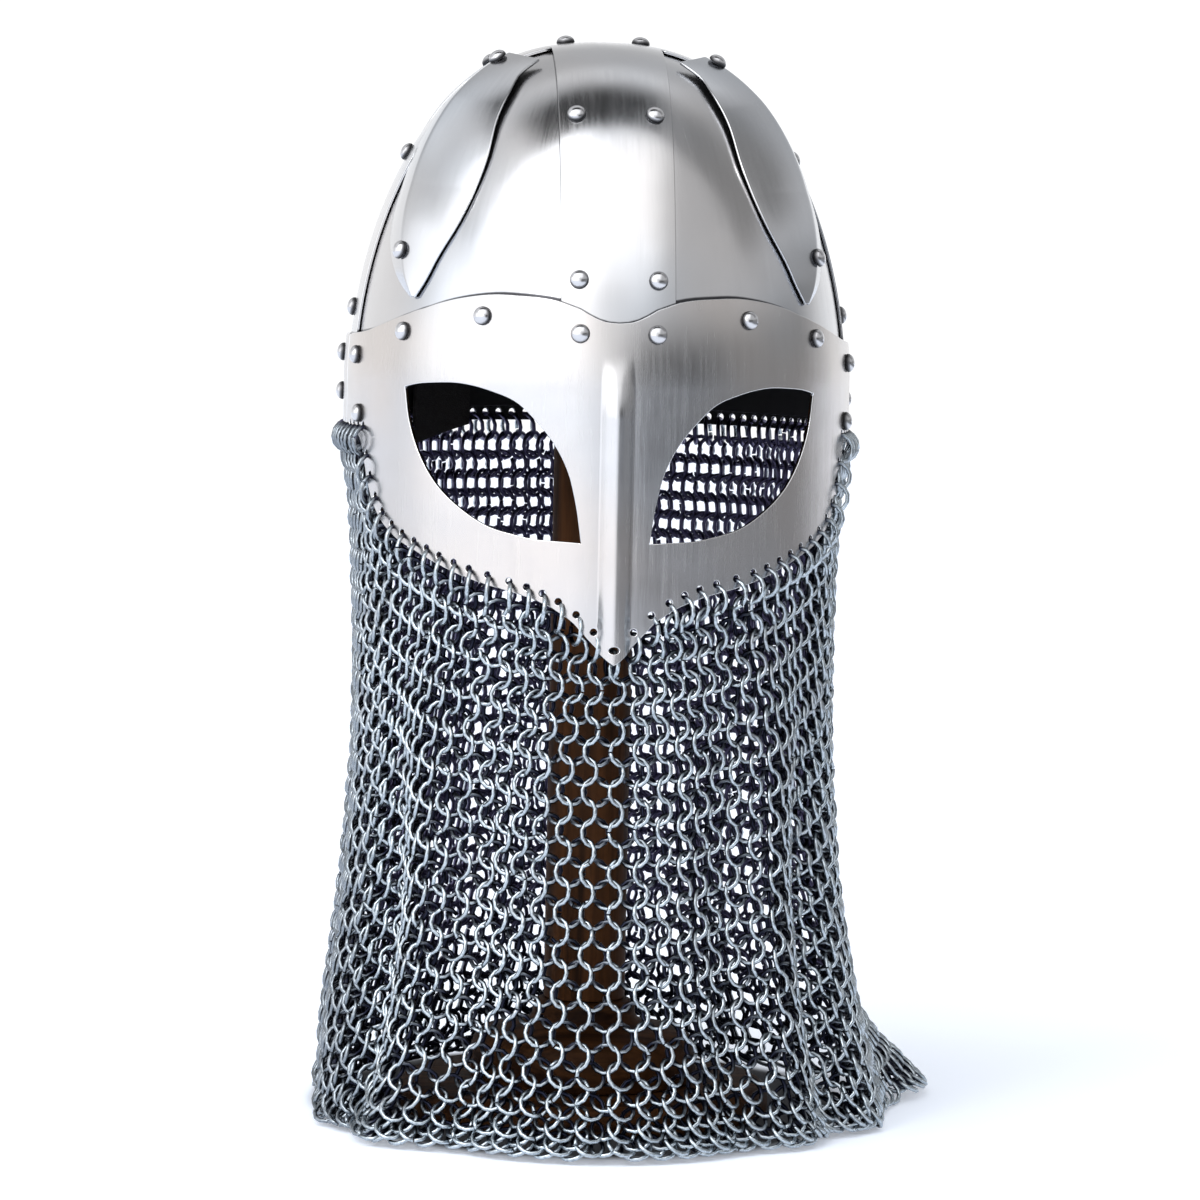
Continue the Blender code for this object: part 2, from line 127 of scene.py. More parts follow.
class Recipe:
    """Adds nodes to one node tree."""

    def __init__(self, tree):
        self.tree = tree

    def node(self, kind, settings=None, sockets=None, out=0):
        """Adds any node: its settings first, then a value or a link for each socket."""
        made = self.tree.nodes.new(kind)
        for key, value in (settings or {}).items():
            setattr(made, key, value)
        for key, value in (sockets or {}).items():
            if isinstance(value, Value):
                self.tree.links.new(value.socket, made.inputs[key])
            else:
                made.inputs[key].default_value = value
        return Value(self, made.outputs[out])

    def place(self, stretch, sheet=False):
        """Object coordinates, or the sheet's own flat map, multiplied by a stretch along each axis."""
        stretch = stretch if isinstance(stretch, tuple) else (stretch,) * 3
        if sheet:
            where = self.node("ShaderNodeUVMap", {"uv_map": "sheet"})
        else:
            where = self.node("ShaderNodeTexCoord", out=3)
        return self.node("ShaderNodeVectorMath", {"operation": "MULTIPLY"}, {0: where, 1: stretch})

    def parts(self, vector):
        """The three numbers of a vector."""
        made = self.node("ShaderNodeSeparateXYZ", None, {0: vector}).socket.node
        return [Value(self, made.outputs[axis]) for axis in range(3)]

    def noise(self, stretch, detail=2.0, roughness=0.5, distortion=0.0, sheet=False):
        """Noise from 0 to 1 at scale 1, so that the stretch of its place sets its size."""
        where = self.place(stretch, sheet)
        return self.node("ShaderNodeTexNoise", None, {"Vector": where, "Scale": 1.0, "Detail": detail,
                                                      "Roughness": roughness, "Distortion": distortion})

    def mix(self, share, low, high):
        """A colour between two colours."""
        low, high = ((*c, 1.0) if isinstance(c, tuple) else c for c in (low, high))
        return self.node("ShaderNodeMix", {"data_type": "RGBA"}, {0: share, 6: low, 7: high}, out=2)

    def bump(self, height):
        """A normal bent by a height in metres."""
        return self.node("ShaderNodeBump", None, {"Strength": 1.0, "Distance": 1.0, "Height": height})

    def attribute(self, name):
        """A number kept on the mesh's points."""
        return self.node("ShaderNodeAttribute", {"attribute_name": name}, out=2)


def finish(name, make, **constants):
    """A material whose make function returns the linked sockets of its shader."""
    material = bpy.data.materials.new(name)
    material.use_nodes = True
    recipe = Recipe(material.node_tree)
    shader = material.node_tree.nodes["Principled BSDF"]
    for key, value in constants.items():
        shader.inputs[key.replace("_", " ")].default_value = value
    for key, value in make(recipe).items():
        material.node_tree.links.new(value.socket, shader.inputs[key])
    print("finish", name, "has", len(material.node_tree.nodes), "nodes")
    return material


# %% [markdown]
# ## The studio
#
# Bare steel shows the room more than itself: here a white room, a broad light from the left and above, a
# darker right side, and a dark ceiling behind that shows as a dark band over the crown. Lamps and cards
# could make this. A sky painted by direction does it with nothing in the way of a moving camera.

# %% Studio
FRONT_LIGHT = 1.05
WALL_LIGHT = 1.12
HIGH_WALL_SHADE = 0.35
LEFT_LIGHT = 0.95
TOP_LIGHT = 0.65
LOW_SHADE = 0.88
HIGH_SHADE = 0.36
CEILING_SHADE = 0.98

scene.view_settings.view_transform = "Standard"
scene.world = bpy.data.worlds.new("studio")
scene.world.use_nodes = True
sky = Recipe(scene.world.node_tree)
sky_x, sky_y, sky_z = sky.parts(sky.node("ShaderNodeTexCoord", out=0))
behind = sky_y.rise(0.25, 0.70)
high = sky_z.rise(0.14, 0.34)
in_front = 1.0 - behind
left = (sky_x * -1.0).rise(0.0, 0.34) * (1.0 - sky_y.rise(-0.05, 0.40))
overhead = sky_z.rise(0.35, 0.60) * (1.0 - sky_x.rise(0.35, 0.60))
right_low = sky_x.rise(0.04, 0.28) * (1.0 - high) * (1.0 - sky_y.rise(0.30, 0.85))
right_low = right_low * (1.0 - 0.22 * sky_x.rise(0.7, 0.98))
right_high = sky_x.rise(0.22, 0.55) * high * (1.0 - 0.6 * behind)
aside = sky_x.math("ABSOLUTE")
past = sky_y - 0.12 * aside
ceiling = sky_z.rise(0.30, 0.50) * past.rise(-0.245, -0.155) * (1.0 - 0.80 * sky_y.rise(0.16, 0.52))
ceiling = ceiling * (1.0 - 0.45 * sky_x.rise(0.25, 0.55)) * (1.0 - 0.40 * (sky_x * -1.0).rise(0.42, 0.62))
light = FRONT_LIGHT * in_front + WALL_LIGHT * (behind * (1.0 - HIGH_WALL_SHADE * high))
light = light + (LEFT_LIGHT * left + TOP_LIGHT * overhead) * in_front
light = light * (1.0 - LOW_SHADE * right_low) * (1.0 - HIGH_SHADE * right_high)
light = light * (1.0 - CEILING_SHADE * ceiling)
lamp = bpy.data.objects.new("key_lamp", bpy.data.lights.new("key_lamp", "AREA"))
lamp.data.size = 0.45
lamp.data.energy = 8.0
lamp.location = (-1.15, -1.45, 1.40)
lamp.rotation_euler = (lamp.location - Vector((0.0, 0.0, 0.22))).to_track_quat("Z", "Y").to_euler()
scene.collection.objects.link(lamp)
background = scene.world.node_tree.nodes["Background"]
background.inputs["Color"].default_value = (0.985, 0.99, 1.0, 1.0)
scene.world.node_tree.links.new(light.socket, background.inputs["Strength"])
print("sky nodes:", len(scene.world.node_tree.nodes))

# %% [markdown]
# ## The surface under everything
#
# In plan the skull is an oval, and going up it keeps its width for long and then turns in quickly.
# A superellipsoid does this: with r the share of the plan's oval and h the share of the height, r to the
# power 2.5 plus h to the power 1.8 is one. Below the brow the oval goes straight down, as a wall.

# %% Skull surface
SKULL_HALF_WIDTH = 0.0990
SKULL_HALF_LENGTH = 0.1160
BROW_Z = 0.3000
SKULL_HEIGHT = 0.1330
FULL_ACROSS = 2.5
FULL_UP = 1.8
RIM_Z = 0.2770


def unit(vectors):
    """Vectors divided by their length."""
    return vectors / np.linalg.norm(vectors, axis=-1, keepdims=True)


def outward(x, y, z):
    """Unit normal: the gradient of reach to the power 2.5 plus height share to the power 1.8."""
    reach = np.hypot(x / SKULL_HALF_WIDTH, y / SKULL_HALF_LENGTH)
    share = np.clip((z - BROW_Z) / SKULL_HEIGHT, 0.0, None)
    steep = FULL_ACROSS * reach ** (FULL_ACROSS - 2.0)
    slope = np.stack((steep * x / SKULL_HALF_WIDTH ** 2, steep * y / SKULL_HALF_LENGTH ** 2,
                      FULL_UP * share ** (FULL_UP - 1.0) / SKULL_HEIGHT + 0.0 * x), -1)
    return unit(slope)


def on_skull(x, y, z, lift):
    """Points of the surface moved out along its normal by a lift; returns the points and the normals."""
    x, y, z, lift = np.broadcast_arrays(x, y, z, lift)
    normal = outward(x, y, z)
    return np.stack((x, y, z), -1) + normal * lift[..., None], normal


def on_wall(angle, z, lift):
    """Points at an angle round the helmet (0 nose, 90 right ear) and a height."""
    share = np.clip((z - BROW_Z) / SKULL_HEIGHT, 0.0, 1.0)
    reach = (1.0 - share ** FULL_UP) ** (1.0 / FULL_ACROSS)
    turn = np.radians(angle)
    x, y = SKULL_HALF_WIDTH * reach * np.sin(turn), -SKULL_HALF_LENGTH * reach * np.cos(turn)
    return on_skull(x, y, z, lift)


def on_crown(share_x, share_y, lift):
    """Points over a place in the plan, given as shares of the half width and the half length."""
    reach = np.hypot(share_x, share_y)
    height = SKULL_HEIGHT * np.clip(1.0 - reach ** FULL_ACROSS, 0.0, 1.0) ** (1.0 / FULL_UP)
    return on_skull(SKULL_HALF_WIDTH * share_x, SKULL_HALF_LENGTH * share_y, BROW_Z + height, lift)


def reach_at(climb):
    """Share of the plan's oval at a climb from the brow (0 degrees) to the crown (90)."""
    return np.clip(np.cos(np.radians(climb)), 0.0, 1.0) ** (2.0 / FULL_ACROSS)


print("crown top at", round(1000 * (BROW_Z + SKULL_HEIGHT)), "mm")

# %% [markdown]
# ## Sheet metal with real edges
#
# A thin plate could be a flat mesh with Solidify and Bevel modifiers. On these bent plates it is cleaner
# to build the outer face, a rounded rim along each edge, and the inner face. Every point gets its exact
# normal, so broad faces stay smooth up to the edge and the rim catches light, as filed steel does.

# %% Mesh helpers
EDGE_RADIUS = 0.00035
RIM_TURNS = np.radians((40.0, 90.0))


def facing(points, normals, faces):
    """The faces turned so that each one looks the way its points' normals look."""
    corners = points[faces]
    flat = np.cross(corners[:, 1] - corners[:, 0], corners[:, 2] - corners[:, 0])
    if faces.shape[1] == 4:
        flat = flat + np.cross(corners[:, 2] - corners[:, 0], corners[:, 3] - corners[:, 0])
    wrong = np.einsum("ij,ij->i", flat, normals[faces].sum(1)) < 0.0
    faces = faces.copy()
    faces[wrong] = faces[wrong][:, ::-1]
    return faces


def keep_values(mesh, name, values):
    """Keeps a number on each point of a mesh, for a finish to read."""
    mesh.attributes.new(name, "FLOAT", "POINT").data.foreach_set("value", np.ravel(values).astype(np.float32))


def make_mesh(name, points, face_sets, normals=None, flat=None, edge=None, kinds=None):
    """A mesh from arrays: points, lists of triangles or quads, and what is known at each point."""
    face_sets = [faces for faces in face_sets if len(faces)]
    if normals is not None:
        face_sets = [facing(points, normals, faces) for faces in face_sets]
    corners = np.concatenate([faces.ravel() for faces in face_sets]).astype(np.int32)
    sizes = np.concatenate([np.full(len(faces), faces.shape[1]) for faces in face_sets])
    mesh = bpy.data.meshes.new(name)
    mesh.vertices.add(len(points))
    mesh.vertices.foreach_set("co", points.astype(np.float32).ravel())
    mesh.loops.add(len(corners))
    mesh.loops.foreach_set("vertex_index", corners)
    mesh.polygons.add(len(sizes))
    mesh.polygons.foreach_set("loop_start", (np.cumsum(sizes) - sizes).astype(np.int32))
    if kinds is not None:
        mesh.polygons.foreach_set("material_index", kinds.astype(np.int32))
    mesh.update(calc_edges=True)
    mesh.shade_smooth()
    if flat is not None:
        layer = mesh.uv_layers.new(name="sheet")
        layer.data.foreach_set("uv", flat[corners].astype(np.float32).ravel())
    if edge is not None:
        keep_values(mesh, "edge", edge)
    if normals is not None:
        mesh.normals_split_custom_set_from_vertices(normals.astype(np.float32).tolist())
    return mesh


def add_piece(mesh, materials, nodes):
    """Puts a mesh in the scene in place of its CAD nodes."""
    piece = bpy.data.objects.new(mesh.name, mesh)
    scene.collection.objects.link(piece)
    for material in materials:
        mesh.materials.append(material)
    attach(piece, "root")
    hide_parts(*nodes)
    print(mesh.name, "faces:", len(mesh.polygons))


def edge_loops(face_sets):
    """The open edges of a sheet, chained into loops that keep the sheet on their left."""
    half = np.concatenate([np.stack((faces, np.roll(faces, -1, 1)), -1).reshape(-1, 2) for faces in face_sets
                           if len(faces)])
    size = half.max() + 1
    code, back = half[:, 0] * size + half[:, 1], half[:, 1] * size + half[:, 0]
    following = dict(half[~np.isin(code, back)].tolist())
    loops = []
    while following:
        start, here = following.popitem()
        loop = [start]
        while here != start:
            loop.append(here)
            here = following.pop(here)
        loops.append(np.array(loop))
    return loops


def closed_sheet(name, inner, normals, flat, face_sets, thickness):
    """A plate between an inner face and the same face moved out by the thickness, with rounded rims.

    The rim is a half round of small radius, carried along each loop of open edges. Its outward
    direction is the edge's direction crossed with the surface normal."""
    top = inner + normals * thickness
    face_sets = [facing(top, normals, faces) for faces in face_sets]
    count = len(top)
    points, turns, maps, edge = [top, inner], [normals, -normals], [flat, flat], [np.zeros(2 * count)]
    sides = []
    used = 2 * count
    for loop in edge_loops(face_sets):
        along = top[np.roll(loop, -1)] - top[np.roll(loop, 1)]
        out = np.cross(along, normals[loop])
        out /= np.linalg.norm(out, axis=1, keepdims=True) + 1e-12
        rings = [loop]
        for turn in (*RIM_TURNS, *(np.pi - RIM_TURNS[::-1])):
            deep = EDGE_RADIUS * (1.0 - abs(np.cos(turn)))
            depth = deep if np.cos(turn) > 0.0 else thickness - deep
            depth = EDGE_RADIUS if turn == RIM_TURNS[-1] and len(rings) == len(RIM_TURNS) else depth
            points.append(top[loop] + out * EDGE_RADIUS * np.sin(turn) - normals[loop] * depth)
            turns.append(out * np.sin(turn) + normals[loop] * np.cos(turn))
            maps.append(flat[loop])
            edge.append(np.ones(len(loop)))
            rings.append(used + np.arange(len(loop)))
            used += len(loop)
        rings.append(loop + count)
        for high, low in zip(rings, rings[1:]):
            sides.append(np.stack((high, np.roll(high, -1), np.roll(low, -1), low), 1))
    sides = np.concatenate(sides)
    sets = [*face_sets, *(faces[:, ::-1] + count for faces in face_sets), sides]
    kinds = np.concatenate([np.full(len(faces), kind) for faces, kind in
                            zip(sets, [0] * len(face_sets) + [1] * len(face_sets) + [0])])
    return make_mesh(name, np.concatenate(points), sets, np.concatenate(turns), np.concatenate(maps),
                     np.concatenate(edge), kinds)


def grid_faces(rows, columns, closed=False):
    """Quads between the points of a grid whose points are numbered row by row."""
    number = np.arange(rows * columns).reshape(rows, columns)
    if closed:
        number = np.concatenate((number, number[:, :1]), 1)
    return np.stack((number[:-1, :-1], number[:-1, 1:], number[1:, 1:], number[1:, :-1]), -1).reshape(-1, 4)


def spun(radius, height, sides, poles):
    """A profile spun round the axis: its points, its quads, and fans to the two poles' heights."""
    turns = np.linspace(0.0, 2 * np.pi, sides, endpoint=False)
    rings = np.stack((np.outer(radius, np.cos(turns)), np.outer(radius, np.sin(turns)),
                      np.repeat(height[:, None], sides, 1)), -1).reshape(-1, 3)
    points = np.concatenate((rings, ((0.0, 0.0, poles[0]), (0.0, 0.0, poles[1]))))
    count = len(rings)
    first, last = np.arange(sides), count - sides + np.arange(sides)
    fans = np.concatenate((np.stack((np.full(sides, count), first, np.roll(first, -1)), 1),
                           np.stack((np.full(sides, count + 1), np.roll(last, -1), last), 1)))
    return points, grid_faces(len(radius), sides, closed=True)[:, ::-1], fans


def length_along(points):
    """Length of a line from its first point to each of its points."""
    return np.concatenate(((0.0,), np.cumsum(np.linalg.norm(np.diff(points, axis=0), axis=1))))


def smooth_between(at, known, values):
    """Cubic curve through a table's rows; each slope is the average of the slopes beside it."""
    slopes = np.gradient(values, known)
    i = np.clip(np.searchsorted(known, at) - 1, 0, len(known) - 2)
    span = known[i + 1] - known[i]
    t = np.clip((at - known[i]) / span, 0.0, 1.0)
    return ((1 + 2 * t) * (1 - t) ** 2 * values[i] + t * (1 - t) ** 2 * span * slopes[i]
            + t ** 2 * (3 - 2 * t) * values[i + 1] + t ** 2 * (t - 1) * span * slopes[i + 1])


def smooth_path(points, step):
    """A smooth line through a few flat points, with a point about every step of its length."""
    points = np.asarray(points, float)
    length = length_along(points)
    at = np.linspace(0.0, length[-1], int(np.ceil(length[-1] / step)) + 1)
    return np.stack([smooth_between(at, length, points[:, axis]) for axis in (0, 1)], -1)


# %% [markdown]
# ## Steel finishes
#
# The plates are satin steel: brushed one way, with broad waves from hammering and edges worn bright. Two
# stretched noises on the sheet's own flat map, in metres, do the brushing: one changes the roughness, and
# the other bends the normal by a few thousandths of a millimetre.


# %% Plate finish
def brushed(colour, roughness, rim_tone=(0.80, 0.81, 0.83), lines=1.0, dents=1.0, shaded_seams=False):
    """Satin steel; with shaded seams, painted shade makes a thin dark line where another plate's edge lies on
    it.
    """
    def make(m):
        grain = m.noise((2600.0, 70.0, 1.0), 3.0, 0.6, sheet=True)
        streak = m.noise((420.0, 14.0, 1.0), 2.0, 0.55, sheet=True)
        broad = m.noise(24.0, 3.0, 0.55)
        wave = m.noise(46.0, 1.0, 0.4)
        rim_wear_and_shade = m.attribute("edge")
        tint = m.noise(9.0, 2.0, 0.5)
        cool = tuple(c * t for c, t in zip(colour, (0.95, 0.99, 1.04)))
        warm = tuple(c * t for c, t in zip(colour, (1.03, 0.99, 0.96)))
        tone = m.mix(tint.rise(0.35, 0.65), cool, warm)
        tone = m.mix(broad.rise(0.3, 0.7) * 0.12, tone, tuple(0.60 * c for c in colour))
        # the rims take rim_tone: bright wear on most plates, painted shade on the ridge band
        tone = m.mix(rim_wear_and_shade * 0.7, tone, rim_tone)
        if shaded_seams:
            # painted shade: a thin dark line just past the edges of the visor, the brow band and the ridge
            # band
            above, beside = m.attribute("above"), m.attribute("beside")
            line = 2.0 - above.rise(0.0014, 0.0025) - beside.rise(0.0003, 0.0011)
            tone = m.mix(line.rise(0.0, 1.0), tone, (0.05, 0.05, 0.055))
        rough = roughness + 0.16 * lines * (grain - 0.5) + 0.12 * lines * (streak - 0.5)
        rough = rough + 0.14 * (broad - 0.5)
        height = lines * (7e-6 * grain + 8e-6 * streak) + dents * (2.0e-4 * wave)
        return {"Base Color": tone, "Roughness": rough - 0.08 * rim_wear_and_shade, "Normal": m.bump(height)}
    return make


def painted_dark_inside(m):
    """The inside of the helmet: near-black steel with a dull uneven surface, painted dark as painted shade
    inside the shell.
    """
    broad = m.noise(40.0, 4.0, 0.6)
    return {"Base Color": m.mix(broad, (0.012, 0.012, 0.014), (0.05, 0.048, 0.05)),
            "Roughness": 0.50 + 0.3 * broad, "Normal": m.bump(4e-5 * broad)}


def bright(m):
    """A rivet's head: polished on top, with painted shade round its foot, where the edge value is 1."""
    broad = m.noise(260.0, 2.0, 0.5)
    foot = m.attribute("edge")
    # painted shade: the dome's foot is painted near-black, for the shadow where it meets the plate
    tone = m.mix(foot, (0.60, 0.60, 0.62), (0.03, 0.03, 0.032))
    rough = 0.12 + 0.12 * broad + 0.3 * foot
    return {"Base Color": tone, "Roughness": rough, "Normal": m.bump(1.0e-4 * broad)}


# painted shade: the ridge band's rims are painted near-black, for the shadow in the gap under its edges
SHADED_RIM = (0.10, 0.10, 0.105)
SKULL_TONE = (0.60, 0.61, 0.63)
BAND_TONE = (0.64, 0.65, 0.67)
skull_steel = finish("skull_steel", brushed(SKULL_TONE, 0.21, shaded_seams=True), Metallic=1.0)
band_steel = finish("band_steel", brushed(BAND_TONE, 0.19, SHADED_RIM, shaded_seams=True), Metallic=1.0)
side_steel = finish("side_steel", brushed(BAND_TONE, 0.21, SKULL_TONE, shaded_seams=True), Metallic=1.0)
leaf_steel = finish("leaf_steel", brushed((0.58, 0.60, 0.63), 0.20, dents=1.3), Metallic=1.0)
visor_steel = finish("visor_steel", brushed((0.615, 0.598, 0.590), 0.24, lines=1.2), Metallic=1.0)
inner_steel = finish("inner_steel", painted_dark_inside, Metallic=0.6)
rivet_steel = finish("rivet_steel", bright, Metallic=1.0)


def add_plate(mesh, steel, node):
    """Puts in a plate whose inner side is painted dark, as painted shade."""
    add_piece(mesh, (steel, inner_steel), [node])


# %% [markdown]
# ## Skull plates
#
# Four quarter plates make the skull, and their seams lie under the bands. Each is a grid of angle and
# climb, wrapped on the superellipsoid, and ends in a single point at the crown.

# %% Skull plates
PLATE = 0.0015
BAND = 0.0012
GAP = 0.0004
SEAM = 0.0006
LAYER = GAP + BAND + GAP
SKULL_FOOT = RIM_Z + 0.0060
FACE_ANGLE = 60.0
DENSE = 41


def skull_plate(turn_start, front):
    """Points of one quarter: rows below the brow on the wall, rows above it by climb, then the pole.

    A front quarter is left open behind the eyes."""
    angles = turn_start + np.linspace(0.0, 90.0, DENSE)
    low = np.linspace(SKULL_FOOT, BROW_Z, 8)[:-1]
    wall, wall_out = on_wall(angles[None, :], low[:, None], -SEAM / 2 - PLATE)
    climb = np.linspace(0.0, 88.0, DENSE)
    reach, turn = reach_at(climb)[:, None], np.radians(angles)[None, :]
    dome, dome_out = on_crown(reach * np.sin(turn), -reach * np.cos(turn), -SEAM / 2 - PLATE)
    pole, pole_out = on_crown(np.zeros(1), np.zeros(1), -SEAM / 2 - PLATE)
    points = np.concatenate((wall.reshape(-1, 3), dome.reshape(-1, 3), pole))
    normals = np.concatenate((wall_out.reshape(-1, 3), dome_out.reshape(-1, 3), pole_out))
    rows = len(low) + DENSE
    quads = grid_faces(rows, DENSE)
    if front:
        middle = np.degrees(np.arctan2(points[quads][:, :, 0].mean(1) / SKULL_HALF_WIDTH,
                                       -points[quads][:, :, 1].mean(1) / SKULL_HALF_LENGTH))
        open_face = (quads[:, 3] < DENSE * (len(low) + 1)) & (abs(middle) < FACE_ANGLE)
        quads = quads[~open_face]
    last = (rows - 1) * DENSE + np.arange(DENSE)
    fan = np.stack((last[:-1], last[1:], np.full(DENSE - 1, rows * DENSE)), 1)
    shift = np.sign(np.sin(np.radians(turn_start + 45.0))), -np.sign(np.cos(np.radians(turn_start + 45.0)))
    points[:, :2] += np.array(shift) * SEAM / 2
    flat = np.stack((np.arctan2(points[:, 0], -points[:, 1]) * 0.1, points[:, 2]), -1)
    return points, normals, flat, [quads, fan], PLATE


QUARTERS = (("front_left", -90.0), ("front_right", 0.0), ("rear_right", 90.0), ("rear_left", 180.0))
for quarter, start in QUARTERS:
    mesh = closed_sheet(f"skull_{quarter}", *skull_plate(start, quarter.startswith("front")))
    add_plate(mesh, skull_steel, f"skull_plate_{quarter}")

# %% [markdown]
# ## Bands over the seams
#
# One broad band runs from the brow over the crown to the nape, and two more come up from the ears and end
# against it. A band is a line on the skull carried sideways: rows by climb, columns by distance across.

# %% Bands
RIDGE_BAND_WIDTH = 0.0430
SIDE_BAND_WIDTH = 0.0380
BAND_COLUMNS = 13
BAND_ROWS = 56
SIDES = (("left", -1.0), ("right", 1.0))
ENDS = (("front", 1.0), ("rear", -1.0))


def ridge_rows():
    """Plan places of the ridge band: x across, and y from the reach left at each climb."""
    x = np.linspace(-RIDGE_BAND_WIDTH / 2, RIDGE_BAND_WIDTH / 2, BAND_COLUMNS) / SKULL_HALF_WIDTH
    climb = np.linspace(1.5, 178.5, 2 * BAND_ROWS + 1)
    half = np.where(climb < 90.0, -1.0, 1.0)
    reach = reach_at(np.where(climb < 90.0, climb, 180.0 - climb))
    y = (half * reach)[:, None] * np.sqrt(1.0 - x[None, :] ** 2)
    return np.broadcast_to(x, y.shape), y


def strip(shape, places, foot=None):
    """A band's inner face over plan places, with rows straight down to a foot where one is given."""
    points, normals = on_crown(*places, GAP)
    if foot is not None:
        low = np.repeat(points[:1], len(foot), 0)
        low[:, :, 2] = np.asarray(foot)[:, None]
        points = np.concatenate((low, points))
        normals = np.concatenate((np.repeat(normals[:1] * (1.0, 1.0, 0.0), len(foot), 0), normals))
    rows, columns = points.shape[:2]
    along = length_along(points[:, columns // 2])
    side = np.linspace(0.0, 1.0, columns) * np.linalg.norm(points[0, -1] - points[0, 0])
    flat = np.stack(np.broadcast_arrays(side[None, :], along[:, None]), -1).reshape(-1, 2)
    points, normals = points.reshape(-1, 3), normals.reshape(-1, 3)
    return closed_sheet(shape, points, normals, flat, [grid_faces(rows, columns)], BAND)


add_plate(strip("ridge_strip", ridge_rows()), band_steel, "ridge_band")

END_SHARE = (RIDGE_BAND_WIDTH / 2 + SEAM) / SKULL_HALF_WIDTH
LAST_CLIMB = np.degrees(np.arccos(END_SHARE ** (FULL_ACROSS / 2)))
for side, out in SIDES:
    y_share = np.linspace(-SIDE_BAND_WIDTH / 2, SIDE_BAND_WIDTH / 2, BAND_COLUMNS) / SKULL_HALF_LENGTH
    reach = reach_at(np.linspace(0.0, LAST_CLIMB, BAND_ROWS))[:, None]
    x_share = out * reach * np.sqrt(1.0 - y_share[None, :] ** 2)
    places = (x_share, np.broadcast_to(y_share, x_share.shape))
    mesh = strip(f"side_strip_{side}", places, np.linspace(SKULL_FOOT, BROW_Z, 6)[:-1])
    add_plate(mesh, side_steel, f"side_band_{side}")

# %% [markdown]
# ## Visor and brow band
#
# The visor is one plate with two eye openings, a pressed ridge down the nose and a row of small holes for
# the mail. A grid can't carry so many openings. So the plate is drawn flat, as it would be cut, filled
# with even triangles, and bent onto the wall. The ridge is a lift: a rounded bump that fades out above.

# %% Visor outline
VISOR_DROP = 0.1070
VISOR_RISE = 0.0330
EYE_HEIGHT = 0.0605
EYE_TOP_BELOW_BROW = 0.0005
METRES_PER_DEGREE = 0.00187
# angle, lower edge, eye's lower edge, eye's upper edge, upper edge; shares of the drop, the eye and the rise
VISOR_COLUMNS = np.array((
    (0.0, 1.000, 0.000, 0.000, 0.700),
    (2.9, 0.953, 0.000, 0.000, 0.715),
    (7.2, 0.879, 0.000, 0.000, 0.812),
    (8.6, 0.853, 0.003, 0.264, 0.855),
    (10.4, 0.832, 0.006, 0.463, 0.888),
    (13.5, 0.800, 0.010, 0.636, 0.942),
    (17.5, 0.772, 0.017, 0.777, 0.976),
    (22.0, 0.750, 0.041, 0.893, 0.991),
    (28.0, 0.728, 0.085, 0.960, 1.000),
    (35.0, 0.697, 0.190, 1.000, 0.964),
    (43.0, 0.651, 0.377, 0.997, 0.879),
    (47.5, 0.623, 0.560, 0.985, 0.811),
    (50.2, 0.607, 0.740, 0.970, 0.777),
    (51.7, 0.599, 0.960, 0.960, 0.752),
    (56.0, 0.564, 0.960, 0.960, 0.691),
    (60.0, 0.521, 0.960, 0.960, 0.630),
    (63.5, 0.459, 0.960, 0.960, 0.582),
    (66.3, 0.379, 0.960, 0.960, 0.545),
    (68.5, 0.294, 0.960, 0.960, 0.521),
    (71.0, 0.229, 0.960, 0.960, 0.503),
    (76.0, 0.215, 0.960, 0.960, 0.479),
    (81.7, 0.215, 0.960, 0.960, 0.455),
))
EYE_ROWS = slice(2, 14)
OUTLINE_STEP = 0.0015


def visor_lower(angle):
    """Height of the visor's lower edge, which is the rim's height behind it."""
    share = smooth_between(abs(angle), VISOR_COLUMNS[:, 0], VISOR_COLUMNS[:, 1])
    return np.where(abs(angle) > VISOR_COLUMNS[-1, 0], RIM_Z, BROW_Z - VISOR_DROP * share)


half_x = VISOR_COLUMNS[:, 0] * METRES_PER_DEGREE
lower_z = BROW_Z - VISOR_DROP * VISOR_COLUMNS[:, 1]
upper_z = BROW_Z + VISOR_RISE * VISOR_COLUMNS[:, 4]
eye_foot = BROW_Z - EYE_TOP_BELOW_BROW - EYE_HEIGHT
eye_low = np.stack((half_x[EYE_ROWS], eye_foot + EYE_HEIGHT * VISOR_COLUMNS[EYE_ROWS, 2]), -1)
eye_high = np.stack((half_x[EYE_ROWS], eye_foot + EYE_HEIGHT * VISOR_COLUMNS[EYE_ROWS, 3]), -1)
eye_high[0] = eye_low[0]
lower_half = smooth_path(np.stack((half_x, lower_z), -1), OUTLINE_STEP)
upper_half = smooth_path(np.stack((half_x, upper_z), -1)[::-1], OUTLINE_STEP)
end_side = np.stack((np.full(30, half_x[-1]), np.linspace(lower_z[-1], upper_z[-1], 30)), -1)[1:-1]
right_half = np.concatenate((lower_half, end_side, upper_half))
visor_outline = np.concatenate((right_half, (right_half * (-1.0, 1.0))[::-1][1:-1]))
right_eye = np.concatenate([smooth_path(edge, OUTLINE_STEP)[:-1] for edge in (eye_low, eye_high[::-1])])
left_eye = (right_eye * (-1.0, 1.0))[::-1]
print("visor outline points:", len(visor_outline), "eye points:", len(right_eye))

# %% [markdown]
# The small holes follow the lower edge of the visor and then the rim. They are the places of the first
# row of rings, so one list of angles gives both.

# %% Hole line
HOLE_RADIUS = 0.00175
HOLE_INSIDE_EDGE = 0.0032
HOLE_SIDES = 12
RIM_HOLES = 70
RIM_START = 68.9
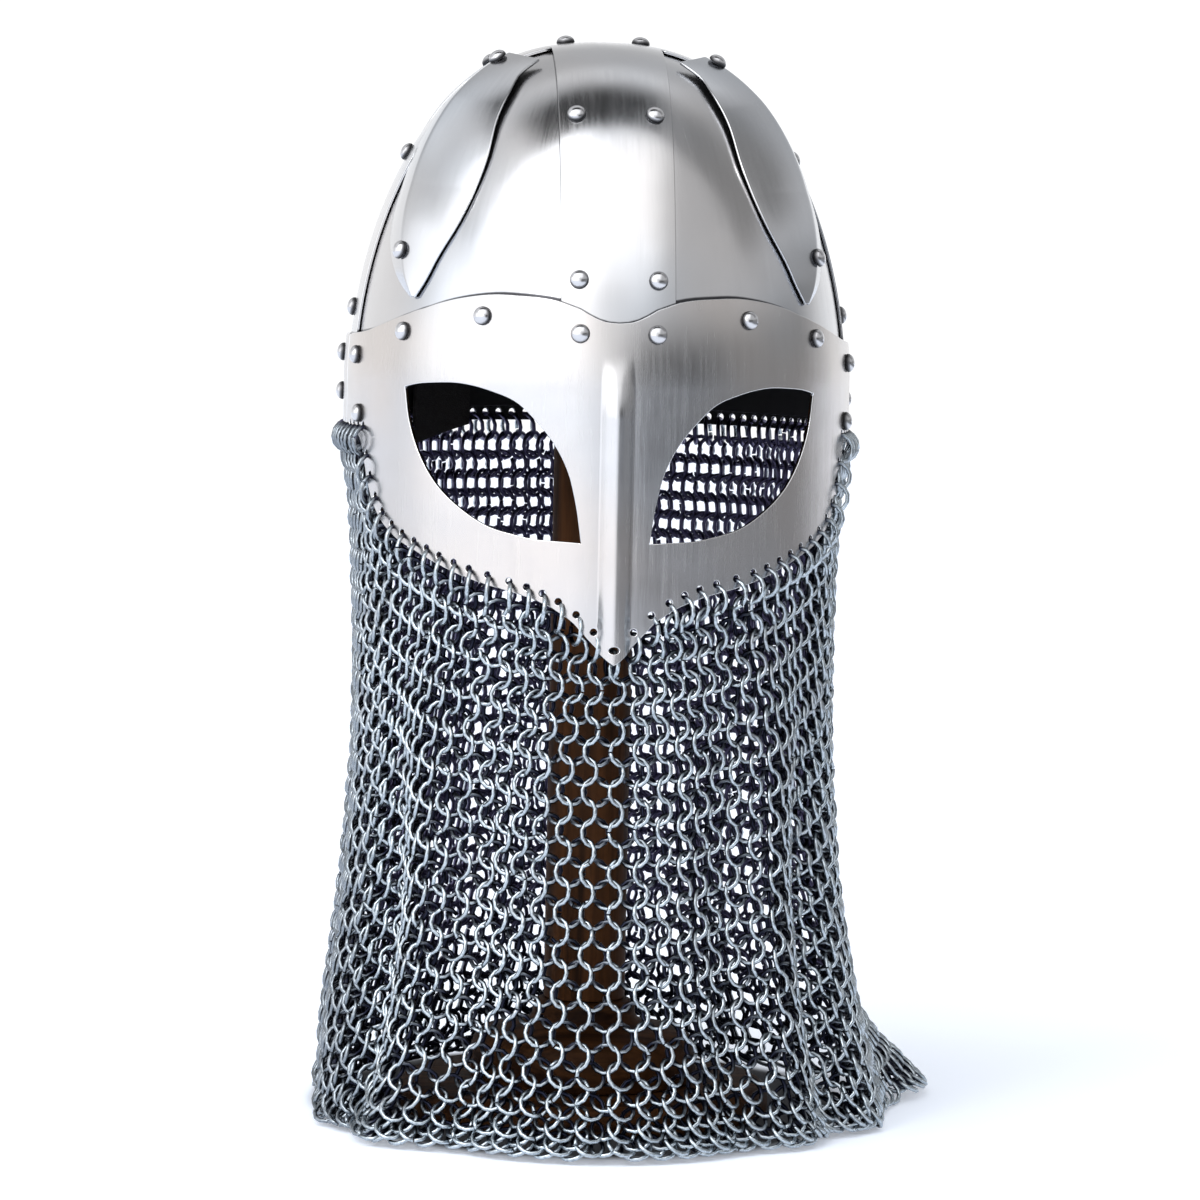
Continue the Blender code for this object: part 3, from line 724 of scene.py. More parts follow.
# angle and height of the holes along the visor's lower edge
VISOR_HOLES = np.array((
    (0.0, 0.1985), (4.3, 0.2052), (8.1, 0.2118), (12.0, 0.2166), (15.5, 0.2195), (19.0, 0.2218),
    (23.0, 0.2237), (28.0, 0.2257), (32.6, 0.2277), (36.5, 0.2297), (40.4, 0.2320), (44.0, 0.2345),
    (47.8, 0.2369), (51.7, 0.2396), (55.4, 0.2428), (59.2, 0.2473), (62.3, 0.2530), (64.9, 0.2610),
    (66.9, 0.2692),
))


def rim_angles():
    """Angles from one end of the visor's holes round the back to the other, even along the oval."""
    fine = np.linspace(RIM_START, 360.0 - RIM_START, 2001)
    step = np.hypot(SKULL_HALF_WIDTH * np.cos(np.radians(fine)), SKULL_HALF_LENGTH * np.sin(np.radians(fine)))
    length = np.concatenate(((0.0,), np.cumsum((step[1:] + step[:-1]) / 2)))
    return np.interp(np.linspace(0.0, length[-1], RIM_HOLES), length, fine)


rim = rim_angles()
hole_angles = np.concatenate((-VISOR_HOLES[:0:-1, 0], VISOR_HOLES[:, 0], rim))
rim_heights = np.full(RIM_HOLES, RIM_Z + HOLE_INSIDE_EDGE)
hole_heights = np.concatenate((VISOR_HOLES[:0:-1, 1], VISOR_HOLES[:, 1], rim_heights))
print("holes:", len(hole_angles))


def hole_loops(angles, heights):
    """A small polygon round each hole's place on the flat plate."""
    turns = np.linspace(0.0, 2 * np.pi, HOLE_SIDES, endpoint=False)
    ring = HOLE_RADIUS * np.stack((np.cos(turns), np.sin(turns)), -1)
    centres = np.stack((angles * METRES_PER_DEGREE, heights), -1)
    return [centre + ring for centre in centres]


def inside(points, outline):
    """Even and odd rule: how many of the outline's sides a line to the right crosses."""
    x, y = points[:, :1], points[:, 1:]
    x1, y1 = outline.T[:, None, :]
    x2, y2 = np.roll(outline, -1, 0).T[:, None, :]
    with np.errstate(divide="ignore", invalid="ignore"):
        cross = (y1 > y) != (y2 > y)
        hit = cross & (x < (x2 - x1) * (y - y1) / (y2 - y1) + x1)
    return hit.sum(1) % 2 == 1


def in_metal(points, outline, openings):
    """Which points are inside the outline and in none of the openings."""
    return inside(points, outline) & ~np.any([inside(points, opening) for opening in openings], axis=0)


FILL_STEP = 0.0032
CLEAR_OF_EDGE = 0.0009


def fill_sheet(outline, openings, fine_half=0.0):
    """Triangles that fill a flat outline round its openings, from a grid that is finer over the nose."""
    loops = [outline, *openings]
    border = np.concatenate(loops)
    low, high = border.min(0), border.max(0)
    x, y = np.meshgrid(np.arange(low[0], high[0], FILL_STEP), np.arange(low[1], high[1], FILL_STEP))
    x = x + (np.arange(len(y)) % 2)[:, None] * FILL_STEP / 2
    grid = np.stack((x.ravel(), y.ravel()), -1)
    if fine_half:
        grid = grid[abs(grid[:, 0]) > fine_half]
        x, y = np.meshgrid(np.linspace(-fine_half, fine_half, 15), np.arange(low[1], high[1], FILL_STEP / 2))
        grid = np.concatenate((grid, np.stack((x.ravel(), y.ravel()), -1)))
    grid = grid[in_metal(grid, outline, openings)]
    near = np.array([np.sqrt(((border - point) ** 2).sum(1).min()) for point in grid])
    points = np.concatenate((border, grid[near > CLEAR_OF_EDGE]))
    starts = np.cumsum([0] + [len(loop) for loop in loops[:-1]])
    edges = [(int(start + i), int(start + (i + 1) % len(loop)))
             for start, loop in zip(starts, loops) for i in range(len(loop))]
    made = delaunay_2d_cdt(points.tolist(), edges, [], 0, 1e-9, False)
    flat, tris = np.array([tuple(v) for v in made[0]]), np.array(made[2])
    tris = tris[in_metal(flat[tris].mean(1), outline, openings)]
    print("flat sheet:", len(flat), "points,", len(tris), "triangles")
    return flat, tris


NOSE_RIDGE = 0.0045
NOSE_HALF = 0.0062
NOSE_TOP = 0.3120
NOSE_FULL = 0.2880


def bend(flat):
    """The flat plate on the wall: across is the angle, up is the height, and the nose ridge is a lift.

    It lies outside the bands, so the lift starts at their layer."""
    across_share = np.clip(abs(flat[:, 0]) / NOSE_HALF, 0.0, 1.0)
    fade = np.clip((NOSE_TOP - flat[:, 1]) / (NOSE_TOP - NOSE_FULL), 0.0, 1.0)
    bump = (1.0 - across_share ** 2) ** 1.5 * fade ** 2 * (3.0 - 2.0 * fade)
    return on_wall(flat[:, 0] / METRES_PER_DEGREE, flat[:, 1], LAYER + NOSE_RIDGE * bump)[0]


def bent_normals(surface, flat, small=0.0001):
    """Unit normals of a surface: its slope across crossed with its slope up."""
    right_step, up_step = (np.array(step) * small for step in ((1.0, 0.0), (0.0, 1.0)))
    slope_x = surface(flat + right_step) - surface(flat - right_step)
    slope_z = surface(flat + up_step) - surface(flat - up_step)
    return unit(np.cross(slope_x, slope_z))


# %% [markdown]
# With the outline, the openings and the bend known, the visor is filled and closed like any other sheet.
# The brow band is the same kind of plate with straight edges, from one end of the visor round the back.

# %% Visor and brow band
VISOR_END = 81.0
BAND_START = 84.0
BROW_BAND_HEIGHT = 0.0380
BROW_BAND_ANGLE = 82.4


def add_bent_plate(name, outline, openings, node, fine_half=0.0):
    """Fills a flat plate, bends it and puts it in."""
    flat, tris = fill_sheet(outline, openings, fine_half)
    mesh = closed_sheet(name, bend(flat), bent_normals(bend, flat), flat, [tris], PLATE)
    add_plate(mesh, visor_steel, node)


near_angles = np.where(hole_angles > 360.0 - VISOR_END, hole_angles - 360.0, hole_angles)
on_visor = abs(near_angles) < VISOR_END
on_band = (hole_angles > BAND_START) & (hole_angles < 360.0 - BAND_START)
visor_holes = hole_loops(near_angles[on_visor], hole_heights[on_visor])
add_bent_plate("visor_plate", visor_outline, [right_eye, left_eye, *visor_holes], "visor", NOSE_HALF + 0.0008)

band_x = np.linspace(BROW_BAND_ANGLE, 360.0 - BROW_BAND_ANGLE, 280) * METRES_PER_DEGREE
band_z = np.linspace(RIM_Z, RIM_Z + BROW_BAND_HEIGHT, 20)
band_outline = np.stack((
    np.concatenate((band_x, np.full(19, band_x[-1]), band_x[-2::-1], np.full(18, band_x[0]))),
    np.concatenate((np.full(280, RIM_Z), band_z[1:], np.full(279, band_z[-1]), band_z[-2:0:-1]))), -1)
band_holes = hole_loops(hole_angles[on_band], hole_heights[on_band])
add_bent_plate("brow_strip", band_outline, band_holes, "brow_band")

# %% [markdown]
# Where one plate lies on another the gap between them is in shade, so the finish paints a thin dark line
# there, as painted shade. The plates below keep, at each point, how far it is past the edges that lie on
# them.

# %% Lines along the seams
def past_edges(mesh):
    """Keeps each point's height above the visor or brow band, and its distance beside the ridge band."""
    points = np.empty(3 * len(mesh.vertices))
    mesh.vertices.foreach_get("co", points)
    x, y, z = points.reshape(-1, 3).T
    angle = np.degrees(np.arctan2(x / SKULL_HALF_WIDTH, -y / SKULL_HALF_LENGTH))
    upper = BROW_Z + VISOR_RISE * smooth_between(abs(angle), VISOR_COLUMNS[:, 0], VISOR_COLUMNS[:, 4])
    above = z - np.where(abs(angle) > VISOR_COLUMNS[-1, 0], RIM_Z + BROW_BAND_HEIGHT, upper)
    above = above if mesh.name.startswith("skull") else above + 0.0007
    beside = abs(x) - RIDGE_BAND_WIDTH / 2 if mesh.name.startswith("skull") else np.ones(len(x))
    keep_values(mesh, "above", above)
    keep_values(mesh, "beside", beside)


for name in ("ridge_strip", "side_strip_left", "side_strip_right"):
    past_edges(bpy.data.meshes[name])
for quarter, _ in QUARTERS:
    past_edges(bpy.data.meshes[f"skull_{quarter}"])

# %% [markdown]
# ## Leaf plates
#
# A long leaf lies on each quarter of the skull. It stands proud along a crease from its lower tip to its
# top, and comes down to its edges. A short table gives the two widths and how high the crease stands.

# %% Leaf plates
LEAF_TIP = BROW_Z + 0.0320
LEAF_HEIGHT = 0.0920
LEAF_CREASE_RISE = 0.0052
LEAF_EDGE_LIFT = 0.0006
LEAF_TOP_LIFT = 0.0020
# height share, crease's angle, front edge's angle from the crease, rear edge's, crease's rise
LEAF_ROWS = np.array((
    (0.000, 52.8, 0.6, 0.6, 0.10),
    (0.050, 54.6, 4.4, 3.2, 0.30),
    (0.165, 57.4, 10.4, 7.6, 0.60),
    (0.315, 59.2, 16.7, 11.4, 0.88),
    (0.450, 60.0, 20.0, 12.8, 1.00),
    (0.590, 60.6, 21.6, 13.4, 1.00),
    (0.750, 61.0, 20.2, 13.0, 0.88),
    (0.870, 61.3, 19.4, 12.6, 0.68),
    (0.945, 61.5, 18.2, 12.2, 0.52),
    (1.000, 61.5, 20.6, 17.0, 0.36),
))


def leaf_surface(height, across_share, lift=0.0):
    """Inner face of a front right leaf: -1 at its front edge, 0 at the crease, 1 at its rear edge."""
    known, *columns = LEAF_ROWS.T
    crease, front, rear, rise = (smooth_between(height, known, column) for column in columns)
    angle = crease + across_share * np.where(across_share < 0.0, front, rear)
    top = LEAF_TOP_LIFT * np.clip((height - 0.45) / 0.35, 0.0, 1.0)
    top = top * (1.0 - 0.5 * np.clip(-across_share, 0.0, 1.0))
    bulge = LEAF_CREASE_RISE * rise * (1.0 - abs(across_share) ** 1.05)
    return on_wall(angle, LEAF_TIP + LEAF_HEIGHT * height, LEAF_EDGE_LIFT + top + bulge + lift)[0]


def leaf_at(places):
    """The leaf at pairs of share across and height share, kept inside its edges."""
    share, height = np.clip(places, (-1.0, 0.0), 1.0).T
    return leaf_surface(height, share)


leaf_heights = np.linspace(0.0, 1.0, 64) ** 1.2
leaf_shares = np.linspace(-1.0, 1.0, 41)
height_grid, share_grid = np.meshgrid(leaf_heights, leaf_shares, indexing="ij")
leaf_places = np.stack((share_grid.ravel(), height_grid.ravel()), -1)
leaf_inner, leaf_out = leaf_at(leaf_places), bent_normals(leaf_at, leaf_places, 0.004)
leaf_faces = grid_faces(len(leaf_heights), len(leaf_shares))
MIRRORS = [(end, side, np.array((out, forward, 1.0))) for end, forward in ENDS for side, out in SIDES]
for end, side, turn in MIRRORS:
    mesh = closed_sheet(f"leaf_{end}_{side}", leaf_inner * turn, leaf_out * turn, leaf_places * (0.035, 0.13),
                        [leaf_faces], BAND)
    add_plate(mesh, leaf_steel, f"leaf_plate_{end}_{side}")

# %% [markdown]
# ## Rivets
#
# Domed heads hold the bands, the leaves and the visor. One dome is a short profile turned round its axis.
# It is copied to every place at once, each copy standing along the sheet's normal there.

# %% Rivets
RIVET_RADIUS = 0.0037
RIVET_HEIGHT = 0.0029
RIVET_SIDES = 20
RIVET_GAP = 0.0003
RIDGE_RIVET_SPACING = 0.0300
VISOR_RIVETS = ((8.4, 0.0193), (30.8, 0.0250), (53.0, 0.0180), (73.6, 0.0077), (71.3, -0.0152))
RIDGE_RIVET_HEIGHTS = (0.0400, 0.1030)
SIDE_RIVET_HEIGHTS = (0.0260, 0.0880)
LEAF_RIVETS = (0.180, 0.972)
BROW_RIVET_ANGLE = 94.0
BROW_RIVET_HEIGHTS = (0.0075, -0.0080)


def rivet_shape():
    """A dome's profile of radius and height shares, spun: points, quads, fans, and how near the foot."""
    bow = np.radians(np.linspace(8.0, 84.0, 7))
    radius = np.concatenate((np.sin(bow), (1.0, 1.0, 0.94)))
    height = np.concatenate((np.cos(bow) ** 0.9, (0.10, 0.0, -0.09)))
    points, quads, fans = spun(radius, height, RIVET_SIDES, (1.0, -0.09))
    foot = np.concatenate((np.repeat(np.clip((radius - 0.84) / 0.14, 0.0, 1.0), RIVET_SIDES), (0.0, 1.0)))
    return points * (RIVET_RADIUS, RIVET_RADIUS, RIVET_HEIGHT), quads, fans, foot


def repeated(face_sets, count, size):
    """The faces of a shape with some number of points, repeated for each of its copies."""
    first = (np.arange(count) * size)[:, None, None]
    return [(first + faces[None]).reshape(-1, faces.shape[1]) for faces in face_sets]


def copies(points, face_sets, places, frames):
    """One mesh's arrays from copies of a shape, each turned by its frame and moved to its place."""
    count, size = len(places), len(points)
    spread = np.einsum("pk,nkj->npj", points, frames) + places[:, None, :]
    return spread.reshape(-1, 3), repeated(face_sets, count, size)


def rivet_group(name, places, nodes):
    """One piece from the rivets at some places, which are pairs of point and normal."""
    centres, normals = (np.array([np.ravel(place[k]) for place in places]) for k in (0, 1))
    side = unit(np.cross(normals, (0.3, 0.5, 0.81)))
    frames = np.stack((side, np.cross(normals, side), normals), 1)
    points, quads, fans, foot = rivet_shape()
    points, sets = copies(points, (quads, fans), centres, frames)
    mesh = make_mesh(name, points, sets, edge=np.tile(foot, len(places)))
    mesh.set_sharp_from_angle(angle=np.radians(60.0))
    add_piece(mesh, (rivet_steel,), nodes)


ON_SHEET = LAYER + PLATE + RIVET_GAP
ON_BAND = GAP + BAND + RIVET_GAP
groups = {"visor_rivets": {}, "brow_rivets": {}, "band_rivets": {}, "leaf_rivets": {}}
for side, out in SIDES:
    for number, (angle, height) in enumerate(VISOR_RIVETS, 1):
        place = on_wall(out * angle, BROW_Z + height, ON_SHEET)
        groups["visor_rivets"][f"visor_rivet_{side}_{number}"] = place
    for number, height in enumerate(BROW_RIVET_HEIGHTS, 1):
        place = on_wall(out * BROW_RIVET_ANGLE, BROW_Z + height, ON_SHEET)
        groups["brow_rivets"][f"brow_rivet_{side}_{number}"] = place
    back = 180.0 - np.degrees(np.arcsin(out * RIDGE_RIVET_SPACING / 2 / SKULL_HALF_WIDTH))
    groups["brow_rivets"][f"brow_rivet_back_{side}"] = on_wall(back, BROW_Z + BROW_RIVET_HEIGHTS[0], ON_SHEET)
    for number, height in enumerate(SIDE_RIVET_HEIGHTS, 1):
        groups["band_rivets"][f"side_rivet_{side}_{number}"] = on_wall(out * 90.0, BROW_Z + height, ON_BAND)
    share = out * RIDGE_RIVET_SPACING / 2 / SKULL_HALF_WIDTH
    groups["band_rivets"][f"crown_rivet_{side}"] = on_crown(share, 0.0, ON_BAND)
    for end, forward in ENDS:
        for number, height in enumerate(RIDGE_RIVET_HEIGHTS, 1):
            reach = (1.0 - (height / SKULL_HEIGHT) ** FULL_UP) ** (1.0 / FULL_ACROSS)
            place = on_crown(share, -forward * np.sqrt(reach ** 2 - share ** 2), ON_BAND)
            groups["band_rivets"][f"ridge_rivet_{end}_{side}_{number}"] = place
        for number, height in enumerate(LEAF_RIVETS, 1):
            spot = leaf_surface(np.array((height,)), np.zeros(1), BAND + RIVET_GAP)
            turn = np.array((out, forward, 1.0))
            place = spot * turn, outward(*spot.T) * turn
            groups["leaf_rivets"][f"leaf_rivet_{end}_{side}_{number}"] = place
for name, group in groups.items():
    rivet_group(name, list(group.values()), list(group))

# %% [markdown]
# ## The mail curtain
#
# Each ring is butted wire that passes through two neighbours in the row above and two in the row below,
# which sit half a step to the side. A cloth simulation would not know about rings. So the curtain is
# a surface, the oval pushed out by folds and a spread towards the floor, with rings set on it row by row.
# One row leans one way and the next the other way, more so where the columns stand close.

# %% Mail surface
MAIL_SPREAD = 0.0150
MAIL_FOLD_DEPTH = 0.0065
# share of the way down, share of the spread, share of the fold depth
MAIL_HANG = np.array((
    (0.00, 0.00, 0.00),
    (0.10, -0.06, 0.08),
    (0.25, -0.16, 0.35),
    (0.45, -0.20, 0.75),
    (0.62, -0.06, 0.95),
    (0.78, 0.28, 1.00),
    (0.90, 0.64, 1.00),
    (1.00, 0.92, 0.90),
))
# angle, half width of the fold, push outwards as a share of the fold depth
MAIL_FOLDS = (
    (-158, 9, 0.70), (-138, 8, -0.60), (-112, 9, 0.80), (-92, 8, -0.50), (-70, 8, 0.55),
    (-51, 7, -0.95), (-36, 6, 0.55), (-22, 6, -0.60), (0, 10, 0.35), (21, 6, -0.60),
    (35, 6, 0.60), (50, 7, -0.95), (68, 8, 0.60), (91, 8, -0.60), (113, 9, 0.85),
    (137, 8, -0.55), (160, 9, 0.60),
)
# angle, half width, how far the hem lies out on the floor as a share of the spread, share of height
MAIL_HEM_FLARES = ((110, 17, 1.80, 0.085), (-42, 12, 0.35, 0.10), (62, 14, 0.30, 0.12), (98, 26, 0.75, 0.34),
                   (-95, 30, -0.30, 0.12))
RING_ROOM = 0.0040
WIDEN = 9.0
WIDEN_TO = 66.0


def swell(angle, centre, half_width):
    """A smooth bump round an angle, also across the back."""
    away = (angle - centre + 180.0) % 360.0 - 180.0
    return np.exp(-(away / half_width) ** 2)


def curtain(angle, z, top):
    """The mail's surface: the oval wall pushed out by the spread, the flares and the folds."""
    down = np.clip((top - z) / top, 0.0, 1.0)
    spread = smooth_between(down, MAIL_HANG[:, 0], MAIL_HANG[:, 1])
    depth = smooth_between(down, MAIL_HANG[:, 0], MAIL_HANG[:, 2])
    folds = sum(push * swell(angle, centre, width) for centre, width, push in MAIL_FOLDS)
    flare = sum(reach * swell(angle, centre, width) * np.exp(-((1.0 - down) / height) ** 2)
                for centre, width, reach, height in MAIL_HEM_FLARES)
    lift = LAYER + PLATE / 2 + MAIL_SPREAD * (spread + flare) + MAIL_FOLD_DEPTH * depth * folds
    hung = np.clip(down / 0.10, 0.0, 1.0)
    opened = np.clip(down / 0.35, 0.0, 1.0)
    near = np.where(abs(angle) < WIDEN_TO, angle, 0.0)
    wide = WIDEN * np.sin(np.pi * near / WIDEN_TO) * opened ** 2 * (3.0 - 2.0 * opened)
    return on_wall(angle + wide, z, lift - RING_ROOM * hung)[0]


# %% [markdown]
# A ring is an open circle of round wire with two flat ends that almost meet. It has 12 steps round and
# five sides, which is enough for a wire only a few pixels thick.

# %% Rings
RING_RADIUS = 0.0056
WIRE_RADIUS = 0.00092
RING_STEPS = 12
WIRE_SIDES = 5
RING_OPENING = np.radians(6.0)
STANDING_OUT = 350.0
FIRST_DROP = 0.0062
LAST_HEIGHT = 0.0058
FRONT_ROW_STEP = 0.0079
BACK_ROW_STEP = 0.0081
PILED_ROWS = 3.0
LEVEL_HALF = 23.0
LEVEL_HEIGHT = 0.2195
CLEAR_OF_FIRST = 0.0045
PILE_STEEPNESS = 1.7
HANG_STEPS = 240
LEAN = np.array(((0.0045, 36.0), (0.0062, 29.0), (0.0080, 24.0), (0.0105, 20.0)))

rng = np.random.default_rng(7)
hole_angles = np.where(hole_angles > 180.0, hole_angles - 360.0, hole_angles)
order = np.argsort(hole_angles)
hole_angles, hole_heights = hole_angles[order], hole_heights[order]
first_z = hole_heights - FIRST_DROP
share = np.clip(abs(hole_angles) / LEVEL_HALF, 0.0, 1.0)
level_line = LEVEL_HEIGHT + (np.interp(LEVEL_HALF, *VISOR_HOLES.T) - LEVEL_HEIGHT) * share ** 2
start_z = np.where(share < 1.0, level_line, hole_heights) - FIRST_DROP
mail_top = np.maximum(visor_lower(hole_angles), start_z)


def halfway(values, wrap=0.0):
    """Values half a column on, across the back as well."""
    following = np.roll(values, -1)
    following[-1] += wrap
    return (values + following) / 2


def hang(angle, start, top, first, parity):
    """Heights of one column's rings of even or odd rows: even steps along the cloth, piled up at the floor.

    Returns rows of (row number, angle, height, top, squeeze). The steps are the row step until the cloth's
    length would pass the floor, and then shrink along a parabola. Rings that would lie above the first
    ring of their column, on the plate, are left out."""
    z = np.linspace(start, LAST_HEIGHT, HANG_STEPS)
    path = curtain(np.full(HANG_STEPS, angle), z, top)
    length = length_along(path)
    front = np.clip((BROW_Z - 0.035 - start) / 0.060, 0.0, 1.0)
    step = BACK_ROW_STEP + (FRONT_ROW_STEP - BACK_ROW_STEP) * front
    count = int(np.ceil(length[-1] / step + PILED_ROWS * front))
    number = np.arange(parity, count + 1, 2)
    cloth, floor_at = step * number, length[-1]
    total = step * count
    bend_at = np.clip((PILE_STEEPNESS * floor_at - total) / (PILE_STEEPNESS - 1.0), 0.0, 0.98 * floor_at)
    part = np.clip((cloth - bend_at) / (total - bend_at), 0.0, 1.0)
    rate = (total - bend_at) / (floor_at - bend_at)
    piled = bend_at + (floor_at - bend_at) * (rate * part - (rate - 1.0) * part ** 2)
    along = np.where(cloth < bend_at, cloth, piled)
    squeeze = np.where(cloth < bend_at, 0.0, 1.0 - (rate - 2.0 * (rate - 1.0) * part) / rate)
    heights = np.interp(along, length, z)
    made = np.stack((number, np.full(len(number), angle), heights, np.full(len(number), top), squeeze), 1)
    return made[(number > 0) & (heights < first - CLEAR_OF_FIRST)]


columns = np.stack((hole_angles, start_z, mail_top, first_z), 1)
half_columns = np.stack([halfway(column, 360.0 * (k == 0)) for k, column in enumerate(columns.T)], 1)
ring_rows = [np.stack((0.0 * first_z, hole_angles, first_z, mail_top, 0.0 * first_z), 1)]
ring_rows += [hang(*column, 0) for column in columns] + [hang(*column, 1) for column in half_columns]
row, angle, z, top, squeeze = np.concatenate(ring_rows).T
odd = row % 2 == 1
print("rings:", z.size, "rows in front:", int(row[abs(angle) < 2].max()))

# %% [markdown]
# Each ring's frame comes from the curtain itself: along the row, down the cloth, and out of it.

# %% Place the rings
ANGLE_STEP = 0.3
HEIGHT_STEP = 0.0004
FIRST_LEAN = 68.0
ANGLE_JITTER = 1.5
PLACE_JITTER = 0.00015
HUNG_DIP = 8.0
PILED_DIP = 46.0
PILED_APART = 0.0020

centre = curtain(angle, z, top)
step_along = curtain(angle + ANGLE_STEP, z, top) - curtain(angle - ANGLE_STEP, z, top)
down = curtain(angle, z - HEIGHT_STEP, top) - curtain(angle, z + HEIGHT_STEP, top)
along = unit(step_along)
down = unit(down - along * (along * down).sum(-1, keepdims=True))
out = np.cross(down, along)
out *= np.sign((out * (centre * (1.0, 1.0, 0.0))).sum(-1, keepdims=True))
right = hole_angles > -1e-6
middles = (hole_angles + halfway(hole_angles, 360.0))[right] / 2
gaps = np.diff(np.append(hole_angles[right], 360.0 - hole_angles[-1]))
gap_along = np.linalg.norm(step_along, axis=-1) / (2 * ANGLE_STEP) * np.interp(abs(angle), middles, gaps)
lean = np.radians(np.interp(gap_along, LEAN[:, 0], LEAN[:, 1])) * np.where(odd, -1.0, 1.0)
lean = np.where(row == 0, np.radians(FIRST_LEAN), lean)
lean = lean + np.radians(rng.normal(0.0, ANGLE_JITTER, lean.shape))
dip = np.radians(HUNG_DIP + PILED_DIP * squeeze + rng.normal(0.0, ANGLE_JITTER, lean.shape))
first = along * np.cos(lean)[..., None] + out * np.sin(lean)[..., None]
facing_out = out * np.cos(lean)[..., None] - along * np.sin(lean)[..., None]
second = down * np.cos(dip)[..., None] + facing_out * np.sin(dip)[..., None]
normal = np.cross(first, second)
apart = rng.normal(0.0, PLACE_JITTER, lean.shape) + PILED_APART * squeeze * np.where(odd, 1.0, -0.6)
centre = centre + out * apart[..., None]


def ring_points(centre, first, second, normal, out, seam):
    """Wire round a circle, and how much each point of it looks and stands out of the curtain."""
    step = np.linspace(RING_OPENING / 2, 2 * np.pi - RING_OPENING / 2, RING_STEPS + 1)
    turn = seam[:, None] + step[None, :]
    radial = first[:, None] * np.cos(turn)[..., None] + second[:, None] * np.sin(turn)[..., None]
    corner = np.linspace(0.0, 2 * np.pi, WIRE_SIDES, endpoint=False)
    wire = (radial[:, :, None] * np.cos(corner)[:, None] + normal[:, None, None] * np.sin(corner)[:, None])
    points = centre[:, None, None] + radial[:, :, None] * RING_RADIUS + wire * WIRE_RADIUS
    points[..., 2] += np.clip(0.0003 - points[..., 2].min(axis=(1, 2)), 0.0, None)[:, None, None]
    stands = (radial * out[:, None]).sum(-1)[:, :, None] * RING_RADIUS
    return points, (wire * out[:, None, None]).sum(-1) + STANDING_OUT * stands


def ring_faces(count):
    """Quads along the wire and one flat face at each end, repeated for each ring."""
    tube = grid_faces(RING_STEPS + 1, WIRE_SIDES, closed=True)
    ends = np.stack((np.arange(WIRE_SIDES)[::-1], RING_STEPS * WIRE_SIDES + np.arange(WIRE_SIDES)))
    return repeated((tube, ends), count, (RING_STEPS + 1) * WIRE_SIDES)


# %% [markdown]
# The wire is dull galvanised steel: grey and a little spangled, and rubbed smoother on its outer side. The
# side of each wire that looks into the curtain, and wire that stands deep in it, is painted dark, as painted
# shade. So each point of the wire keeps how much it looks and stands out of the curtain, and the colour
# follows that. The left flank is painted darker, as painted shade, and the inner side of the back, which
# shows through the front, is painted a little lavender above the floor, as painted light of the backdrop seen
# through it.


# %% Mail finish
# painted shade for the wire's inward side
INNER_SHADE = (0.016, 0.018, 0.032)
# painted light: the backdrop's lavender glow seen through the back of the curtain
LAVENDER_BACKDROP_LIGHT = (0.130, 0.120, 0.215)


def galvanised(m, painted_inner_tone=INNER_SHADE):
    """Grey zinc on wire: fine spangle, broad change, and painted shade on the side that looks inwards."""
    spangle = m.noise(900.0, 2.0, 0.6)
    broad = m.noise(60.0, 2.0, 0.5)
    outer = m.attribute("outer")
    tone = m.mix(spangle.rise(0.3, 0.7), (0.33, 0.38, 0.42), (0.54, 0.60, 0.65))
    tone = m.mix(broad.rise(0.50, 0.75) * 0.35, tone, (0.34, 0.34, 0.36))
    left, _, height = m.parts(m.place((-1.0, 1.0, 1.0)))
    # painted shade: the curtain's left flank is painted darker
    tone = m.mix(0.60 * left.rise(0.080, 0.104), tone, (0.10, 0.11, 0.13))
    # painted shade on wire that looks and stands into the curtain; on the rear mail, above the floor, painted
    # lavender light
    tone = m.mix(outer.rise(0.10, 1.25), m.mix(height.rise(0.02, 0.08), INNER_SHADE, painted_inner_tone), tone)
    rough = 0.34 + 0.10 * broad - 0.12 * outer.rise(0.0, 1.3)
    return {"Base Color": tone, "Roughness": rough, "Normal": m.bump(3e-5 * spangle)}


front_mail = finish("front_mail", galvanised, Metallic=1.0)
rear_mail = finish("rear_mail", lambda m: galvanised(m, LAVENDER_BACKDROP_LIGHT), Metallic=1.0)
seam = rng.uniform(0.0, 2 * np.pi, z.size)
rings, outer = ring_points(*(part.reshape(-1, 3) for part in (centre, first, second, normal, out)), seam)
turn_round = np.degrees(np.arctan2(rings.mean((1, 2))[:, 0], -rings.mean((1, 2))[:, 1]))
for number, name in enumerate(("rear_left", "front_left", "front_right", "rear_right")):
    mine = np.floor((turn_round + 180.0) / 90.0).astype(int) % 4 == number
    mesh = make_mesh(f"mail_{name}", rings[mine].reshape(-1, 3), ring_faces(mine.sum()))
    keep_values(mesh, "outer", outer[mine])
    mesh.set_sharp_from_angle(angle=np.radians(100.0))
    add_piece(mesh, (rear_mail if "rear" in name else front_mail,), ["mail_aventail"])

# %% [markdown]
# ## Leather tab
#
# A dark leather strip hangs inside the rim at the back. Its slanted end shows through the left eye.

# %% Leather tab
TAB_ANGLES = (-150.0, -132.0)
TAB_HEIGHTS = (RIM_Z - 0.0090, RIM_Z + 0.0180)
TAB_THICKNESS = 0.0020
TAB_SLANT = 0.0075
TAB_STEPS = 24


